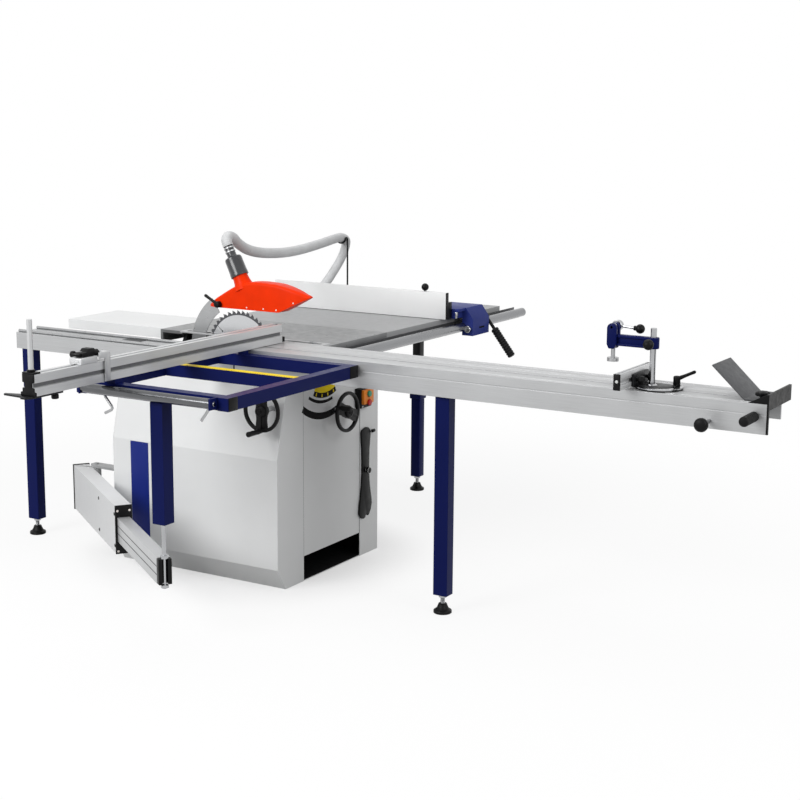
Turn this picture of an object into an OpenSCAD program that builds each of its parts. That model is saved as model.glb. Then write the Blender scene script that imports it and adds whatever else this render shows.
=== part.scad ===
// Sliding table saw with outrigger, swing arm, rip fence and hooded blade guard.
// Frame: +X to the operator's right, +Y along the feed, +Z up, millimetres.
// Origin: on the floor, in the middle of the cabinet's four anchor holes.

/* [Tables] */
// Height of the table tops above the floor
table_h = 870; // [850:1:900]
// Length of the main table along the feed
main_d = 794; // [780:1:840]
// Width of the main table
main_w = 419; // [400:1:440]
// Thickness of the main table's plate
plate_t = 12; // [10:1:14]
// Depth of the main table's skirt
skirt_h = 50; // [40:1:60]
// Width of the right extension table
ext_w = 966; // [940:1:1000]
// Reach of the rear extension table
rear_l = 506; // [400:1:600]
// Width of the rear extension table
rear_w = 311; // [280:1:330]
// Depth of the extension tables' folded rims
rim_h = 40; // [30:1:46]

/* [Cabinet] */
// Width of the cabinet on the floor
cab_w = 638; // [630:1:660]
// How far the main table stands out past the cabinet, front and rear
table_over = 13; // [8:1:15]
// Sheet thickness of the cabinet
cab_t = 2; // [1.5:0.5:3]
// How far the left cover stands out past the footprint
bulge = 49; // [40:1:60]
// How far the left cover leans in at its top
lean = 67; // [55:1:75]
// Height of the left cover's lower fold
plinth_h = 82; // [60:1:110]
// Height of the left cover's upper fold
crease_h = 491; // [440:1:520]
// Height of the opening under the front panel
opening_h = 95; // [80:1:120]
// Diameter of the anchor holes
anchor_d = 14; // [10:1:16]
// Diameter of the dust outlet
outlet_d = 100; // [80:1:120]

/* [Sliding table] */
// Length of the sliding carriage
carriage_l = 2000; // [1900:10:2100]
// Width of the sliding carriage
carriage_w = 224; // [220:1:228]
// Thickness of the carriage's deck
deck_t = 20; // [18:1:22]
// Drop of the carriage's skirt below its deck
skirt_drop = 74; // [50:1:75]
// Length of the fixed base beam
beam_l = 2000; // [1900:10:2100]
// Width of the base beam
beam_w = 126; // [120:1:127]
// Height of the base beam
beam_h = 65; // [60:1:70]
// Width of a leg tube across the feed
leg_w = 45; // [38:1:48]
// Width of a leg tube along the feed
leg_d = 55; // [45:1:60]
// Diameter of a levelling foot
foot_d = 65; // [55:1:75]

/* [Outrigger] */
// Reach of the outrigger frame from the carriage
out_w = 745; // [735:1:755]
// Length of the outrigger frame along the feed
out_l = 620; // [600:1:640]
// Width of a frame tube
bar_w = 40; // [36:1:44]
// Height of a frame tube
bar_h = 42; // [36:1:46]
// Diameter of the loading roller
roller_d = 32; // [26:1:34]
// Side of the square support post
post_w = 50; // [40:1:56]
// Height of the support post's lower end above the floor
post_z = 410; // [400:1:440]

/* [Swing arm] */
// Length of the arm's outer box
arm_l = 685; // [660:1:700]
// Thickness of the arm's outer box
arm_w = 60; // [56:1:64]
// Height of the arm's outer box
arm_h = 177; // [160:1:185]
// Width of the arm's inner bar
inner_w = 45; // [40:1:48]
// Height of the arm's inner bar
inner_h = 90; // [80:1:100]
// Diameter of the arm's pivot pin
pivot_d = 16; // [12:1:20]

/* [Crosscut fence] */
// Length of the crosscut fence
cross_l = 1304; // [1250:1:1310]
// Thickness of the crosscut fence
cross_w = 46; // [40:1:50]
// Height of the crosscut fence
cross_h = 68; // [60:1:76]

/* [Rip fence] */
// Length of the fence bar along the feed
rip_l = 864; // [800:1:900]
// Height of the fence bar
rip_h = 111; // [90:1:120]
// Thickness of the fence bar
rip_w = 50; // [40:1:60]
// Diameter of the guide rail
rail_d = 38; // [34:1:40]
// Length of the guide rail
rail_l = 1450; // [1400:10:1500]
// Width of the fence's sliding head
head_w = 145; // [120:1:160]

/* [Saw unit] */
// Diameter of the main blade
blade_d = 315; // [300:1:316]
// Thickness of the main blade
blade_t = 3.2; // [2.8:0.1:3.6]
// Diameter of the scoring blade
score_d = 90; // [80:1:92]
// Diameter of the arbor
arbor_d = 25; // [20:1:30]
// Diameter of the belt pulleys
pulley_d = 70; // [60:1:72]
// Diameter of the motor
motor_d = 140; // [120:1:144]
// Diameter of the posts that guide the blade's rise
guide_post_d = 28; // [24:1:30]
// Diameter of a handwheel
wheel_d = 160; // [140:1:166]

/* [Guard and hose] */
// Length of the blade guard
guard_l = 455; // [440:1:470]
// Height of the blade guard
guard_h = 108; // [100:1:116]
// Width of the blade guard
guard_w = 70; // [60:1:70]
// Diameter of the guard's spout
spout_d = 66; // [60:1:66]
// Outer diameter of the suction hose
hose_d = 42; // [40:1:46]

/* [Carriage fittings] */
// Length of the mitre gauge's fence
mitre_l = 300; // [260:1:310]
// Height of the hold-down column
column_h = 184; // [180:1:200]
// Width of the ripping shoe
shoe_w = 165; // [140:1:180]

/* [Hidden] */
$fn = 48;

// Clearances that many pieces share
over = 4;
run_gap = 0.05;
side_gap = 0.3;
guide_gap = 0.2;

// Levels that the pieces stand on
guide_d = 11.6;
slide_gap = 0.4;
beam_top = table_h - deck_t - slide_gap - guide_d;
cab_h = beam_top - beam_h;
cab_d = main_d - 2 * table_over;
plate_z = table_h - plate_t;

// Cabinet edges
xl = -cab_w / 2;
xr = cab_w / 2;
yf = -cab_d / 2;
yr = cab_d / 2;
x_bulge = xl - bulge;
x_lean = x_bulge + lean;
pillar_l = 118;
pillar_r = 132;
win_l = xl + pillar_l;
win_r = xr - pillar_r;
lap = 12;
flange_w = 30;
top_flange_w = 12;
flange_t = 3;
anchor_in = 16;
cover_gap = 3;
peg_x = 222;
peg_up = 191;
peg_d = 12;
peg_l = 14;
peg_head_d = 24;
peg_head_l = 10;

// Blade place and the tilt axis, which lies in the table's surface
blade_x = -33;
blade_y = 23;
blade_drop = 58;
blade_z = table_h - blade_drop;
tilt_off = 20;
tilt_x = blade_x - tilt_off;
tilt_deg = 45;

// Table edges
edge_w = 22;
main_x0 = blade_x - edge_w;
main_x1 = main_x0 + main_w;
ext_x1 = main_x1 + ext_w;
tf = -main_d / 2;
tr = main_d / 2;
skirt_t = 12;
sheet_t = 3;
insert_w = 55;
insert_t = 6;
insert_front = 25;
insert_rear = 97;
ledge = 10;
slot_l = 9;
slot_r = 17;
slot_end = 10;
pad_l = 40;
pad_d = 26;
pad_xs_share = [0.57, 0.87];
rib_t = 8;
rib_h = 28;
rib_start = 180;

// Rail and its angle
rail_off = 43;
rail_y = tf - rail_off;
rail_drop = 39;
rail_z = table_h - rail_drop;
rail_x0 = 17;
rail_x1 = rail_x0 + rail_l;
angle_t = 3;
angle_w = 30;
angle_rise = 19;
angle_sink = 25;
stud_d = 12;
stud_n = 5;
stud_in = 90;

// Legs and feet
leg_wall = 2.5;
leg_z = 66;
leg_in_front = 39;
leg_in_rear = 46;
leg_x = -243;
beam_x0 = -270;
beam_x1 = beam_x0 + beam_w;
beam_y1 = 960;
beam_y0 = beam_y1 - beam_l;
beam_wall = 4;
cap_t = 6;
leg_ys = [beam_y0 + leg_in_front, beam_y1 - leg_in_rear];
leg_plate_w = 90;
leg_plate_t = 6;
ext_leg_in = 96;
ext_leg_x = ext_x1 - ext_leg_in;
ext_leg_y = -36;
ext_leg_w = 45;
ext_sleeve_w = 56;
ext_sleeve_z = 430;
ext_sleeve_h = 110;
ext_upper_w = 38;
foot_h = 12;
cone_h = 22;
cone_d = 30;
stem_d = 16;
nut_d = 28;
nut_h = 10;
guide_in = 12;

// Switch box and buttons
switch_x = 190;
switch_drop = 232;
switch_z = table_h - switch_drop;
switch_w = 80;
switch_h = 76;
switch_d = 40;
button_d = 24;
button_out = 7;
button_in = 12;
button_rise = 17;
button_travel = 5;

// Dust outlet and the suction hose
outlet_x = 120;
outlet_z = 230;
outlet_l = 94;
outlet_wall = 2;
outlet_rim_d = 140;
outlet_rim_t = 4;
collar_h = 12;
spigot_y = yr + outlet_l / 2;
spigot_z = outlet_z + outlet_d / 2 + collar_h;
spigot_up = 34;
hose_wall = 3;
hose_rib = 2;
hose_bore_d = hose_d - 2 * hose_wall - 2 * hose_rib;
hose_ribs = 200;
hose_sides = 8;
stub_d = hose_bore_d * cos(180 / hose_sides) - 2 * side_gap;
bore_steps = 80;
// Route of the hose from the guard over the hook to the outlet
// The hose: up from the spout, in a slack run to the hook, round it, and down to the outlet
rise_run = [[0, 67.7, 138.9], [0, 72.5, 148.6], [7, 80, 160.5], [26, 89, 169.5], [55, 98.5, 169],
    [89, 108, 159], [137, 125, 137]];
slack_shares = [[0.1695, 0.3515], [0.2708, 0.4323], [0.4186, 0.5511], [0.5581, 0.6651],
    [0.7059, 0.7838], [0.862, 0.9169], [0.9475, 0.9857]];
slack_sag = [45, 19, -1, -10, -10, -6, -2];
hook_run = [[0, 0, 0], [46, 3, -18], [58, 17, -59], [46, 33, -109], [0, 47, -168], [-40, 50, -201],
    [-100, 50.5, -234]];
fall_shares = [[0.7034, 0.5907], [0.4915, 0.433], [0.2797, 0.2823]];
fall_bow = [50, 43, 24];
outlet_run = [[130, 4, 156], [45, 0, 123], [6, 0, 88], [0, 0, 50], [0, 0, 0]];

// Hose hanger
wire_d = 8;
hook_gap = 1;
hook_x = 1300;
hook_rise = 265;
hook_z = table_h + hook_rise;
bend_r = 9;
hook_r = hose_d / 2 + hook_gap + wire_d / 2;
hang_y = tr + wire_d / 2;
hang_down = 30;
hook_deg = 22;
hook_tip = 10;

// Swing arm
pivot_x = -283;
pivot_out = 164;
pivot_y = yr + pivot_out;
arm_off = 48;
arm_z0 = 160;
arm_back = 57;
arm_wall = 3;
plate_end_t = 6;
barrel_d = 37;
inner_z = arm_z0 + (arm_h - inner_h) / 2;
inner_grip = 120;
tip_d = 34;
tip_below = 14;
tip_above = 8;
tip_rod_d = 14;
post_gap = 0.4;
ear_t = 11;
ear_w = 44;
ear_web_t = 12;
ear_web_l = 44;
ear_plate_w = 60;
ear_plate_t = 6;
pin_out = 5;

// Carriage places
car_x0 = -283;
car_x1 = car_x0 + carriage_w;
car_y0 = -2136;
car_y1 = car_y0 + carriage_l;
deck_z = table_h - deck_t;
skirt_t2 = 9;
web_x = -140;
web_t = 8;
web_h = 50;
tslot_x = -201;
tslot_neck = 12;
tslot_head = 20;
tslot_deep = 15;
tslot_lip = 8;
line_w = 4;
line_d = 2;
line_xs_share = [0.08, 0.6, 0.7, 0.92];
line_drop = 34;
end_t = 6;
end_bar_h = 30;
end_bar_t = 8;
gusset_t = 6;
gusset_l = 60;
push_d = 32;
push_l = 110;
push_y = -2100;
push_drop = 39;
push_z = table_h - push_drop;
push_stem_d = 16;
lock_y = -1957;
lock_drop = 70;
lock_z = table_h - lock_drop;
lock_d = 45;
lock_l = 27;
lock_shaft_d = 14;
lock_shaft_l = 60;

// Outrigger places
out_x1 = car_x0;
out_x0 = out_x1 - out_w;
out_y0 = -672;
out_y1 = out_y0 + out_l;
out_drop = 14;
out_z1 = table_h - out_drop;
out_z0 = out_z1 - bar_h;
mid_x = -605;
cap_l = 6;
roller_off = 25;
roller_drop = 18;
roller_z = out_z1 - roller_drop;
roller_pin_d = 10;
roller_pin_l = 7;
bracket_t = 6;
bracket_w = 42;
bracket_h = 36;
bracket_in_front = 42;
bracket_in_rear = 40;
post_y = -385;
post_x = out_x0 + bar_w / 2;
post_wall = 3;
lever_ys = [-184, -580];
lever_d = 10;
lever_h = 50;
lever_l = 22;
clamp_knob_d = 34;
clamp_knob_l = 20;

// Crosscut fence places
cross_lift = 2;
cross_z = table_h + cross_lift;
cross_y0 = -214;
cross_x1 = -89;
cross_x0 = cross_x1 - cross_l;
cross_mid_y = cross_y0 + cross_w / 2;
cross_pin_x = out_x1 - bar_w / 2;
cross_pin_d = 20;
cross_boss_d = 38;
cross_slot_w = 14;
cross_slot_d = 9;
end_cap_t = 6;
end_foot = 8;
end_foot_h = 14;
end_plate_l = 160;
end_plate_out = 30;
end_plate_t = 6;
end_rod_d = 17;
end_rod_h = 168;
end_rod_in = 10;
end_knob_d = 24;
end_knob_h = 20;
end_knob_in = 20;
stop_x = -1188;
stop_l = 78;
stop_h = 46;
stop_in = 2;
flip_pin_d = 12;
flip_pin_l = 20;
flip_hub_d = 24;
flip_hub_l = 52;
flip_rise = 26;
flip_w = 30;
flip_t = 5;
flip_out = 4;
flip_down = 92;

// Mitre gauge and hold-down places
mitre_x = tslot_x;
mitre_y = -1757;
mitre_r = 100;
mitre_t = 8;
mitre_fence_y = -1687;
mitre_fence_t = 32;
mitre_fence_h = 52;
mitre_fence_x0 = -383;
mitre_pin_d = 11.6;
mitre_pin_l = 8;
column_d = 20;
column_x = -201;
column_y = -1732;
lever_hub_d = 24;
lever_hub_h = 30;
lever_x = -160;
lever_y = -1800;
lever_arm_l = 60;
lever_arm_d = 12;
lever_stem_d = 10;
lever_stem_l = 5;
sleeve_d = 38;
sleeve_h = 36;
sleeve_lift = 118;
clamp_l = 137;
clamp_arm_w = 24;
clamp_head_d = 40;
clamp_head_h = 88;
clamp_head_drop = 10;
spindle_d = 14;
spindle_pad_d = 38;
spindle_pad_h = 12;
spindle_out = 30;
cam_d = 22;
cam_drop = 18;
cam_pin_d = 10;
cam_arm_l = 62;
cam_arm_d = 10;
ball_d = 31;
spindle_top = 20;

// Ripping shoe
shoe_x0 = -253;
shoe_y0 = -2127;
shoe_l = 75;
shoe_t = 5;
flap_l = 145;
flap_deg = 43;
star_d = 40;
star_h = 26;
star_in = 22;

// Rip fence places
rip_x = 791;
rip_out = 25;
rip_y0 = tf - rip_out;
rip_lift = 2;
rip_wall = 3;
rip_knob_d = 30;
rip_knob_in = 105;
rip_stem_d = 10;
rip_stem_h = 8;
head_x = 903;
head_front = 51;
head_top_front = 17;
head_back = 28;
head_low = 36;
head_step = 34;
head_top = 81;
head_open = 37;
head_gap = 0.08;
head_arm_t = 28;
head_arm_l = 150;
flever_out = 32;
flever_y = rail_y - flever_out;
flever_up = 31;
flever_z = rail_z + flever_up;
flever_pin_d = 10;
flever_pin_l = 18;
flever_hub_d = 26;
flever_hub_l = 18;
flever_rod_d = 12;
flever_rod_l = 80;
flever_grip_d = 26;
flever_grip_l = 135;
flever_deg = 38;

// Trunnions, which slide in arcs about the tilt axis
block_r0 = 115;
block_r1 = 160;
block_a0 = -130;
block_a1 = -15;
block_t = 18;
block_in = 14;
groove_r0 = 130;
groove_r1 = 145;
groove_d = 10;
ring_r1 = 200;
ring_a0 = -85;
ring_a1 = -25;
ring_t = 12;
web_x0 = -10;
web_z0_drop = 280;
web_z1_drop = 110;
side_x = 130;
side_t = 12;
side_z_drop = 310;
side_top_drop = 40;
post_at_x = 100;
post_ys_share = [-0.25189, -0.13854];
post_ys = [for (p = post_ys_share) p * main_d];
lug_w = 46;
lug_over = 25;
lug_h = 15;
low_lug_drop = 270;
block_front_y = yf + block_in;
block_rear_y = yr - block_in - block_t;
ring_front_y = block_front_y + block_t + side_gap;
ring_rear_y = block_rear_y - side_gap - ring_t;

// Handwheels
wheel_x = 11;
wheel_drop = 255;
wheel_z = table_h - wheel_drop;
wheel_out = 56;
shaft_d = 20;
slot_half = 13;
rim_d = 18;
hub_d = 44;
hub_l = 34;
spoke_w = 34;
spoke_t = 12;
grip_d = 20;
grip_l = 60;
tilt_in = 39;
tilt_y = yf + tilt_in;
tilt_drop = 193;
tilt_z = table_h - tilt_drop;
tilt_wheel_x = -405;
tilt_shaft_in = 60;
inner_slot_r = 210;
inner_slot_half = 6;

// Rise unit
house_x0 = 72;
house_x1 = 128;
house_front = 25;
house_y0 = post_ys[0] - house_front;
house_back = 93;
house_y1 = blade_y - house_back;
house_z_drop = 130;
house_h = 70;
mount_x0 = 75;
mount_t = 12;
mount_front = 12;
mount_y0 = house_y1 - mount_front;
mount_in = 72;
mount_y1 = tr - mount_in;
mount_z_drop = 290;
mount_top_drop = 40;
spindle_house_d = 64;
spindle_house_x0 = -8;
flange_d = 60;
flange_out = 7;
flange_nut_d = 30;
flange_nut_t = 4;
hub_x1 = -12;
pulley_x0 = 92;
pulley_w = 20;
motor_in = 147;
motor_y = tr - motor_in;
motor_drop = 220;
motor_x0 = -15;
motor_shaft_d = 18;
belt_t = 4;
knife_t = 2.6;
knife_r0 = 172;
knife_r1 = 236;
knife_a0 = -20;
knife_a1 = 56;
holder_y = 192;
holder_l = 30;
holder_drop = 115;
holder_h = 35;
score_in = 80;
score_y = tf + score_in;
score_out = 8;
score_t = 2.4;
score_shaft_d = 12;
score_house_x0 = -22;
score_arm_d = 26;
score_z = table_h + score_out - score_d / 2;

// Guard
guard_y0 = -308;
guard_rise = 109;
guard_z = table_h + guard_rise;
guard_wall = 3;
knife_slot_h = 45;
guard_shares = [[0.28, 0], [1, 0], [1, 0.08], [0.955, 0.25], [0.88, 0.44], [0.79, 0.66], [0.7, 0.85],
    [0.6, 0.96], [0.5, 1], [0.43, 0.995], [0.29, 0.955], [0.14, 0.81], [0.02, 0.645], [0, 0.59], [0.02, 0.525]];
// Half width of the guard along its length
guard_plan_shares = [[0, 0.3], [0.05, 0.5], [0.14, 0.78], [0.28, 1], [0.92, 1], [1, 0.6]];
spout_y = 7;
spout_up = 96;
spout_sink = 30;
spout_z = guard_z + spout_up;
spout_deg = 26;
spout_l = 39;
spout_wall = 3;
sleeve_l = 69;
sleeve_rim = 5;
reduce_d = 36;
reduce_l = 46;
guard_pin_y = 94;
guard_pin_up = 13;
guard_pin_z = guard_z + guard_pin_up;
guard_pin_d = 12;
guard_pin_l = 22;
guard_arm_d = 12;
guard_arm_l = 70;
guard_arm_deg = 62;

// Push stick
stick_t = 7;
stick_w = 34;
stick_h = 362;
stick_clear = 86;
stick_z = switch_z - switch_h / 2 - stick_clear - stick_h;
peg_z = stick_z + peg_up;
stick_grip_w = 74;
stick_grip_h = 90;
stick_gap = 0.6;
spout_at = [blade_x, spout_y, spout_z];
hook_at = [hook_x, hang_y + hook_r * cos(hook_deg), hook_z];
outlet_at = [outlet_x, spigot_y, spigot_z];
hose_route = concat(
    [for (p = rise_run) spout_at + p],
    [for (i = [0 : len(slack_sag) - 1]) [
        spout_at[0] + slack_shares[i][0] * (hook_at[0] - spout_at[0]),
        spout_at[1] + slack_shares[i][1] * (hook_at[1] - spout_at[1]),
        hook_at[2] + slack_sag[i]]],
    [for (p = hook_run) hook_at + p],
    [for (i = [0 : len(fall_bow) - 1]) [
        outlet_at[0] + fall_shares[i][0] * (hook_at[0] - outlet_at[0]),
        outlet_at[1] + fall_bow[i],
        outlet_at[2] + fall_shares[i][1] * (hook_at[2] - outlet_at[2])]],
    [for (p = outlet_run) outlet_at + p]);

// A block between two corners
module bx(x0, x1, y0, y1, z0, z1) {
    translate([x0, y0, z0]) cube([x1 - x0, y1 - y0, z1 - z0]);
}

// Round bars along each axis
module rx(x0, x1, y, z, d) {
    translate([x0, y, z]) rotate([0, 90, 0]) cylinder(d = d, h = x1 - x0);
}

module ry(y0, y1, x, z, d) {
    translate([x, y1, z]) rotate([90, 0, 0]) cylinder(d = d, h = y1 - y0);
}

module rz(z0, z1, x, y, d) {
    translate([x, y, z0]) cylinder(d = d, h = z1 - z0);
}

// An outline in X and Z, drawn out along Y
module along_y(y0, y1) {
    translate([0, y1, 0]) rotate([90, 0, 0]) linear_extrude(y1 - y0) children();
}

// An outline in Y and Z, drawn out along X
module along_x(x0, x1) {
    translate([x0, 0, 0]) rotate([90, 0, 90]) linear_extrude(x1 - x0) children();
}

// Part of a ring about an axis along Y
module arc_y(x, z, r0, r1, a0, a1, y0, y1) {
    translate([x, y1, z]) rotate([90, 0, 0]) rotate([0, 0, a0])
        rotate_extrude(angle = a1 - a0) translate([r0, 0]) square([r1 - r0, y1 - y0]);
}

// A square tube standing up, closed at its foot
module upright(x, y, w, d, z0, z1, wall) {
    difference() {
        bx(x - w / 2, x + w / 2, y - d / 2, y + d / 2, z0, z1);
        bx(x - w / 2 + wall, x + w / 2 - wall, y - d / 2 + wall, y + d / 2 - wall,
            z0 + 2 * wall, z1 + over);
    }
}

// A folded steel table top with rims on the listed sides
module tray(x0, x1, y0, y1) {
    bx(x0, x1, y0, y1, table_h - sheet_t, table_h);
    bx(x0, x1, y0, y0 + sheet_t, table_h - rim_h, table_h);
    bx(x0, x1, y1 - sheet_t, y1, table_h - rim_h, table_h);
    bx(x0, x0 + sheet_t, y0, y1, table_h - rim_h, table_h);
    bx(x1 - sheet_t, x1, y0, y1, table_h - rim_h, table_h);
}

// A handwheel about the Z axis, with its crank grip on the side away from the shaft
module handwheel(shaft_l, spoke_deg) {
    rim_r = (wheel_d - rim_d) / 2;
    rotate_extrude() translate([rim_r, 0]) circle(d = rim_d);
    translate([0, 0, -hub_l / 2]) cylinder(d = hub_d, h = hub_l);
    translate([0, 0, -shaft_l - hub_l / 2]) cylinder(d = shaft_d, h = shaft_l + hub_l / 2);
    rotate([0, 0, spoke_deg]) translate([0, -spoke_w / 2, -spoke_t / 2]) cube([rim_r, spoke_w, spoke_t]);
    rotate([0, 0, spoke_deg]) translate([rim_r, 0, 0]) cylinder(d = grip_d, h = grip_l);
}

module cab_outline() {
    polygon([[xl, 0], [x_bulge, plinth_h], [x_bulge, crease_h], [x_lean, cab_h], [xr, cab_h], [xr, 0]]);
}

wheel_r = norm([wheel_x - tilt_x, wheel_z - table_h]);
wheel_a = atan2(wheel_z - table_h, wheel_x - tilt_x);
slot_more = 4;

module cabinet() {
    color("whitesmoke") difference() {
        union() {
            along_y(yf, yf + cab_t) difference() {
                cab_outline();
                translate([win_l, -over]) square([win_r - win_l, cab_h + 2 * over]);
            }
            along_y(yf + cab_t, yf + 2 * cab_t) translate([win_l - lap, opening_h])
                square([win_r - win_l + 2 * lap, cab_h - opening_h]);
            along_y(yr - cab_t, yr) cab_outline();
            bx(xr - cab_t, xr, yf + cab_t, yr - cab_t, 0, cab_h);
            // Floor flange and top flange
            bx(xl + cover_gap, xr - cab_t, yf + cab_t, yf + flange_w, 0, flange_t);
            bx(xl + cover_gap, xr - cab_t, yr - flange_w, yr - cab_t, 0, flange_t);
            bx(xl + cover_gap, xl + flange_w, yf + cab_t, yr - cab_t, 0, flange_t);
            bx(xr - flange_w, xr - cab_t, yf + cab_t, yr - cab_t, 0, flange_t);
            bx(x_lean + cover_gap, xr - cab_t, yf + cab_t, yf + top_flange_w, cab_h - flange_t, cab_h);
            bx(x_lean + cover_gap, xr - cab_t, yr - top_flange_w, yr - cab_t, cab_h - flange_t, cab_h);
            bx(xr - flange_w, xr - cab_t, yf + cab_t, yr - cab_t, cab_h - flange_t, cab_h);
            // Peg for the push stick
            ry(yf - peg_l, yf, peg_x, peg_z, peg_d);
            ry(yf - peg_l - peg_head_l, yf - peg_l, peg_x, peg_z, peg_head_d);
        }
        // Arc slots in which the height wheel's shaft and the tilt pointer travel
        arc_y(tilt_x, table_h, wheel_r - slot_half, wheel_r + slot_half,
            wheel_a - tilt_deg - slot_more, wheel_a + slot_more, yf - over, yf + 2 * cab_t + over);
        arc_y(tilt_x, table_h, inner_slot_r - inner_slot_half, inner_slot_r + inner_slot_half,
            wheel_a - tilt_deg, wheel_a, yf - over, yf + 2 * cab_t + over);
        for (sx = [-1, 1]) for (sy = [-1, 1])
            rz(-over, flange_t + over, sx * (xr - anchor_in), sy * (yr - anchor_in), anchor_d);
        ry(yr - cab_t - over, yr + over, outlet_x, outlet_z, outlet_d - 2 * outlet_wall);
    }
}

module left_cover() {
    color("whitesmoke") difference() {
        along_y(yf + cab_t, yr - cab_t) polygon([[xl, 0], [x_bulge, plinth_h], [x_bulge, crease_h],
            [x_lean, cab_h], [x_lean + cab_t, cab_h], [x_bulge + cab_t, crease_h],
            [x_bulge + cab_t, plinth_h], [xl + cab_t, 0]]);
        rx(x_bulge - over, x_lean + over, tilt_y, tilt_z, shaft_d + 2 * run_gap);
    }
}

module dust_outlet() {
    color("dimgray") difference() {
        union() {
            ry(yr, yr + outlet_rim_t, outlet_x, outlet_z, outlet_rim_d);
            ry(yr, yr + outlet_l, outlet_x, outlet_z, outlet_d);
            rz(outlet_z, spigot_z, outlet_x, spigot_y, hose_d);
            rz(outlet_z, spigot_z + spigot_up, outlet_x, spigot_y, stub_d);
        }
        ry(yr - over, yr + outlet_l + over, outlet_x, outlet_z, outlet_d - 2 * outlet_wall);
        rz(outlet_z, spigot_z + spigot_up + over, outlet_x, spigot_y, stub_d - 2 * outlet_wall);
    }
}

insert_x1 = main_x0 + insert_w;
insert_y0 = tf + insert_front;
insert_y1 = tr - insert_rear;

module main_table() {
    color("slategray") difference() {
        union() {
            bx(main_x0, main_x1, tf, tr, plate_z, table_h);
            bx(main_x0, main_x1, tf, tf + skirt_t, table_h - skirt_h, table_h);
            bx(main_x0, main_x1, tr - skirt_t, tr, table_h - skirt_h, table_h);
            bx(main_x1 - skirt_t, main_x1, tf, tr, table_h - skirt_h, table_h);
            for (s = [-1, 1]) bx(rib_start, main_x1, s * tr / 3 - rib_t / 2, s * tr / 3 + rib_t / 2,
                plate_z - rib_h, table_h);
            // Pads that stand on the cabinet's top flange
            for (p = pad_xs_share) {
                bx(main_x0 + p * main_w - pad_l / 2, main_x0 + p * main_w + pad_l / 2,
                    yf + 2 * cab_t, yf + 2 * cab_t + pad_d, cab_h, table_h);
                bx(main_x0 + p * main_w - pad_l / 2, main_x0 + p * main_w + pad_l / 2,
                    yr - 2 * cab_t - pad_d, yr - 2 * cab_t, cab_h, table_h);
            }
        }
        bx(main_x0 - over, insert_x1, insert_y0, insert_y1, table_h - insert_t, table_h + over);
        bx(main_x0 - over, insert_x1 - ledge, insert_y0 + ledge, insert_y1 - ledge,
            plate_z - over, table_h + over);
    }
}

module table_insert() {
    color("silver") difference() {
        bx(main_x0, insert_x1 - side_gap, insert_y0 + side_gap, insert_y1 - side_gap,
            table_h - insert_t, table_h);
        bx(blade_x - slot_l, blade_x + slot_r, insert_y0 + 2 * slot_end, insert_y1 - 2 * slot_end,
            table_h - insert_t - over, table_h + over);
    }
}

module right_extension() {
    color("gray") tray(main_x1, ext_x1, tf, tr);
}

module rear_extension() {
    color("white") tray(blade_x, blade_x + rear_w, tr, tr + rear_l);
}

module rail_angle() {
    color("darkslategray") {
        bx(rail_x0, rail_x1, tf - angle_t, tf, rail_z - angle_sink, rail_z + angle_rise);
        bx(rail_x0, rail_x1, tf - angle_w, tf, rail_z - angle_sink, rail_z - angle_sink + angle_t);
    }
}

module fence_rail() {
    color("lightgray") {
        rx(rail_x0, rail_x1, rail_y, rail_z, rail_d);
        for (i = [0 : stud_n - 1])
            ry(rail_y, tf - angle_t, rail_x0 + stud_in + i * (rail_l - 2 * stud_in) / (stud_n - 1),
                rail_z, stud_d);
    }
}

module extension_leg() {
    color("navy") {
        upright(ext_leg_x, ext_leg_y, ext_leg_w, ext_leg_w, leg_z, ext_sleeve_z, leg_wall);
        bx(ext_leg_x - ext_sleeve_w / 2, ext_leg_x + ext_sleeve_w / 2, ext_leg_y - ext_sleeve_w / 2,
            ext_leg_y + ext_sleeve_w / 2, ext_sleeve_z, ext_sleeve_z + ext_sleeve_h);
        upright(ext_leg_x, ext_leg_y, ext_upper_w, ext_upper_w, ext_sleeve_z + ext_sleeve_h,
            table_h - sheet_t - leg_plate_t, leg_wall);
        bx(ext_leg_x - leg_plate_w / 2, ext_leg_x + leg_plate_w / 2, ext_leg_y - leg_plate_w / 2,
            ext_leg_y + leg_plate_w / 2, table_h - sheet_t - leg_plate_t, table_h - sheet_t);
    }
}

module base_beam() {
    cell = (beam_w - 3 * beam_wall) / 2;
    color("gainsboro") {
        along_y(beam_y0, beam_y1) difference() {
            translate([beam_x0, cab_h]) square([beam_w, beam_h]);
            for (i = [0, 1]) translate([beam_x0 + beam_wall + i * (cell + beam_wall), cab_h + beam_wall])
                square([cell, beam_h - 2 * beam_wall]);
        }
        bx(beam_x0, beam_x1, beam_y0 - cap_t, beam_y0, cab_h, beam_top);
        bx(beam_x0, beam_x1, beam_y1, beam_y1 + cap_t, cab_h, beam_top);
    }
}

module guide_bars() {
    color("silver") for (x = [beam_x0 + guide_in, beam_x1 - guide_in])
        ry(beam_y0, beam_y1, x, beam_top + guide_d / 2, guide_d);
}

module beam_legs() {
    color("navy") for (y = leg_ys) {
        upright(leg_x, y, leg_w, leg_d, leg_z, cab_h - leg_plate_t, leg_wall);
        bx(leg_x - leg_w / 2, leg_x - leg_w / 2 + leg_plate_w, y - leg_d / 2, y + leg_d / 2,
            cab_h - leg_plate_t, cab_h);
    }
}

module foot(x, y) {
    translate([x, y, 0]) cylinder(d = foot_d, h = foot_h);
    translate([x, y, foot_h]) cylinder(d1 = foot_d - foot_h, d2 = cone_d, h = cone_h);
    rz(foot_h, leg_z, x, y, stem_d);
    rz(leg_z - nut_h, leg_z, x, y, nut_d);
}

module levelling_feet() {
    color("black") {
        for (y = leg_ys) foot(leg_x, y);
        foot(ext_leg_x, ext_leg_y);
    }
}

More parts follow.
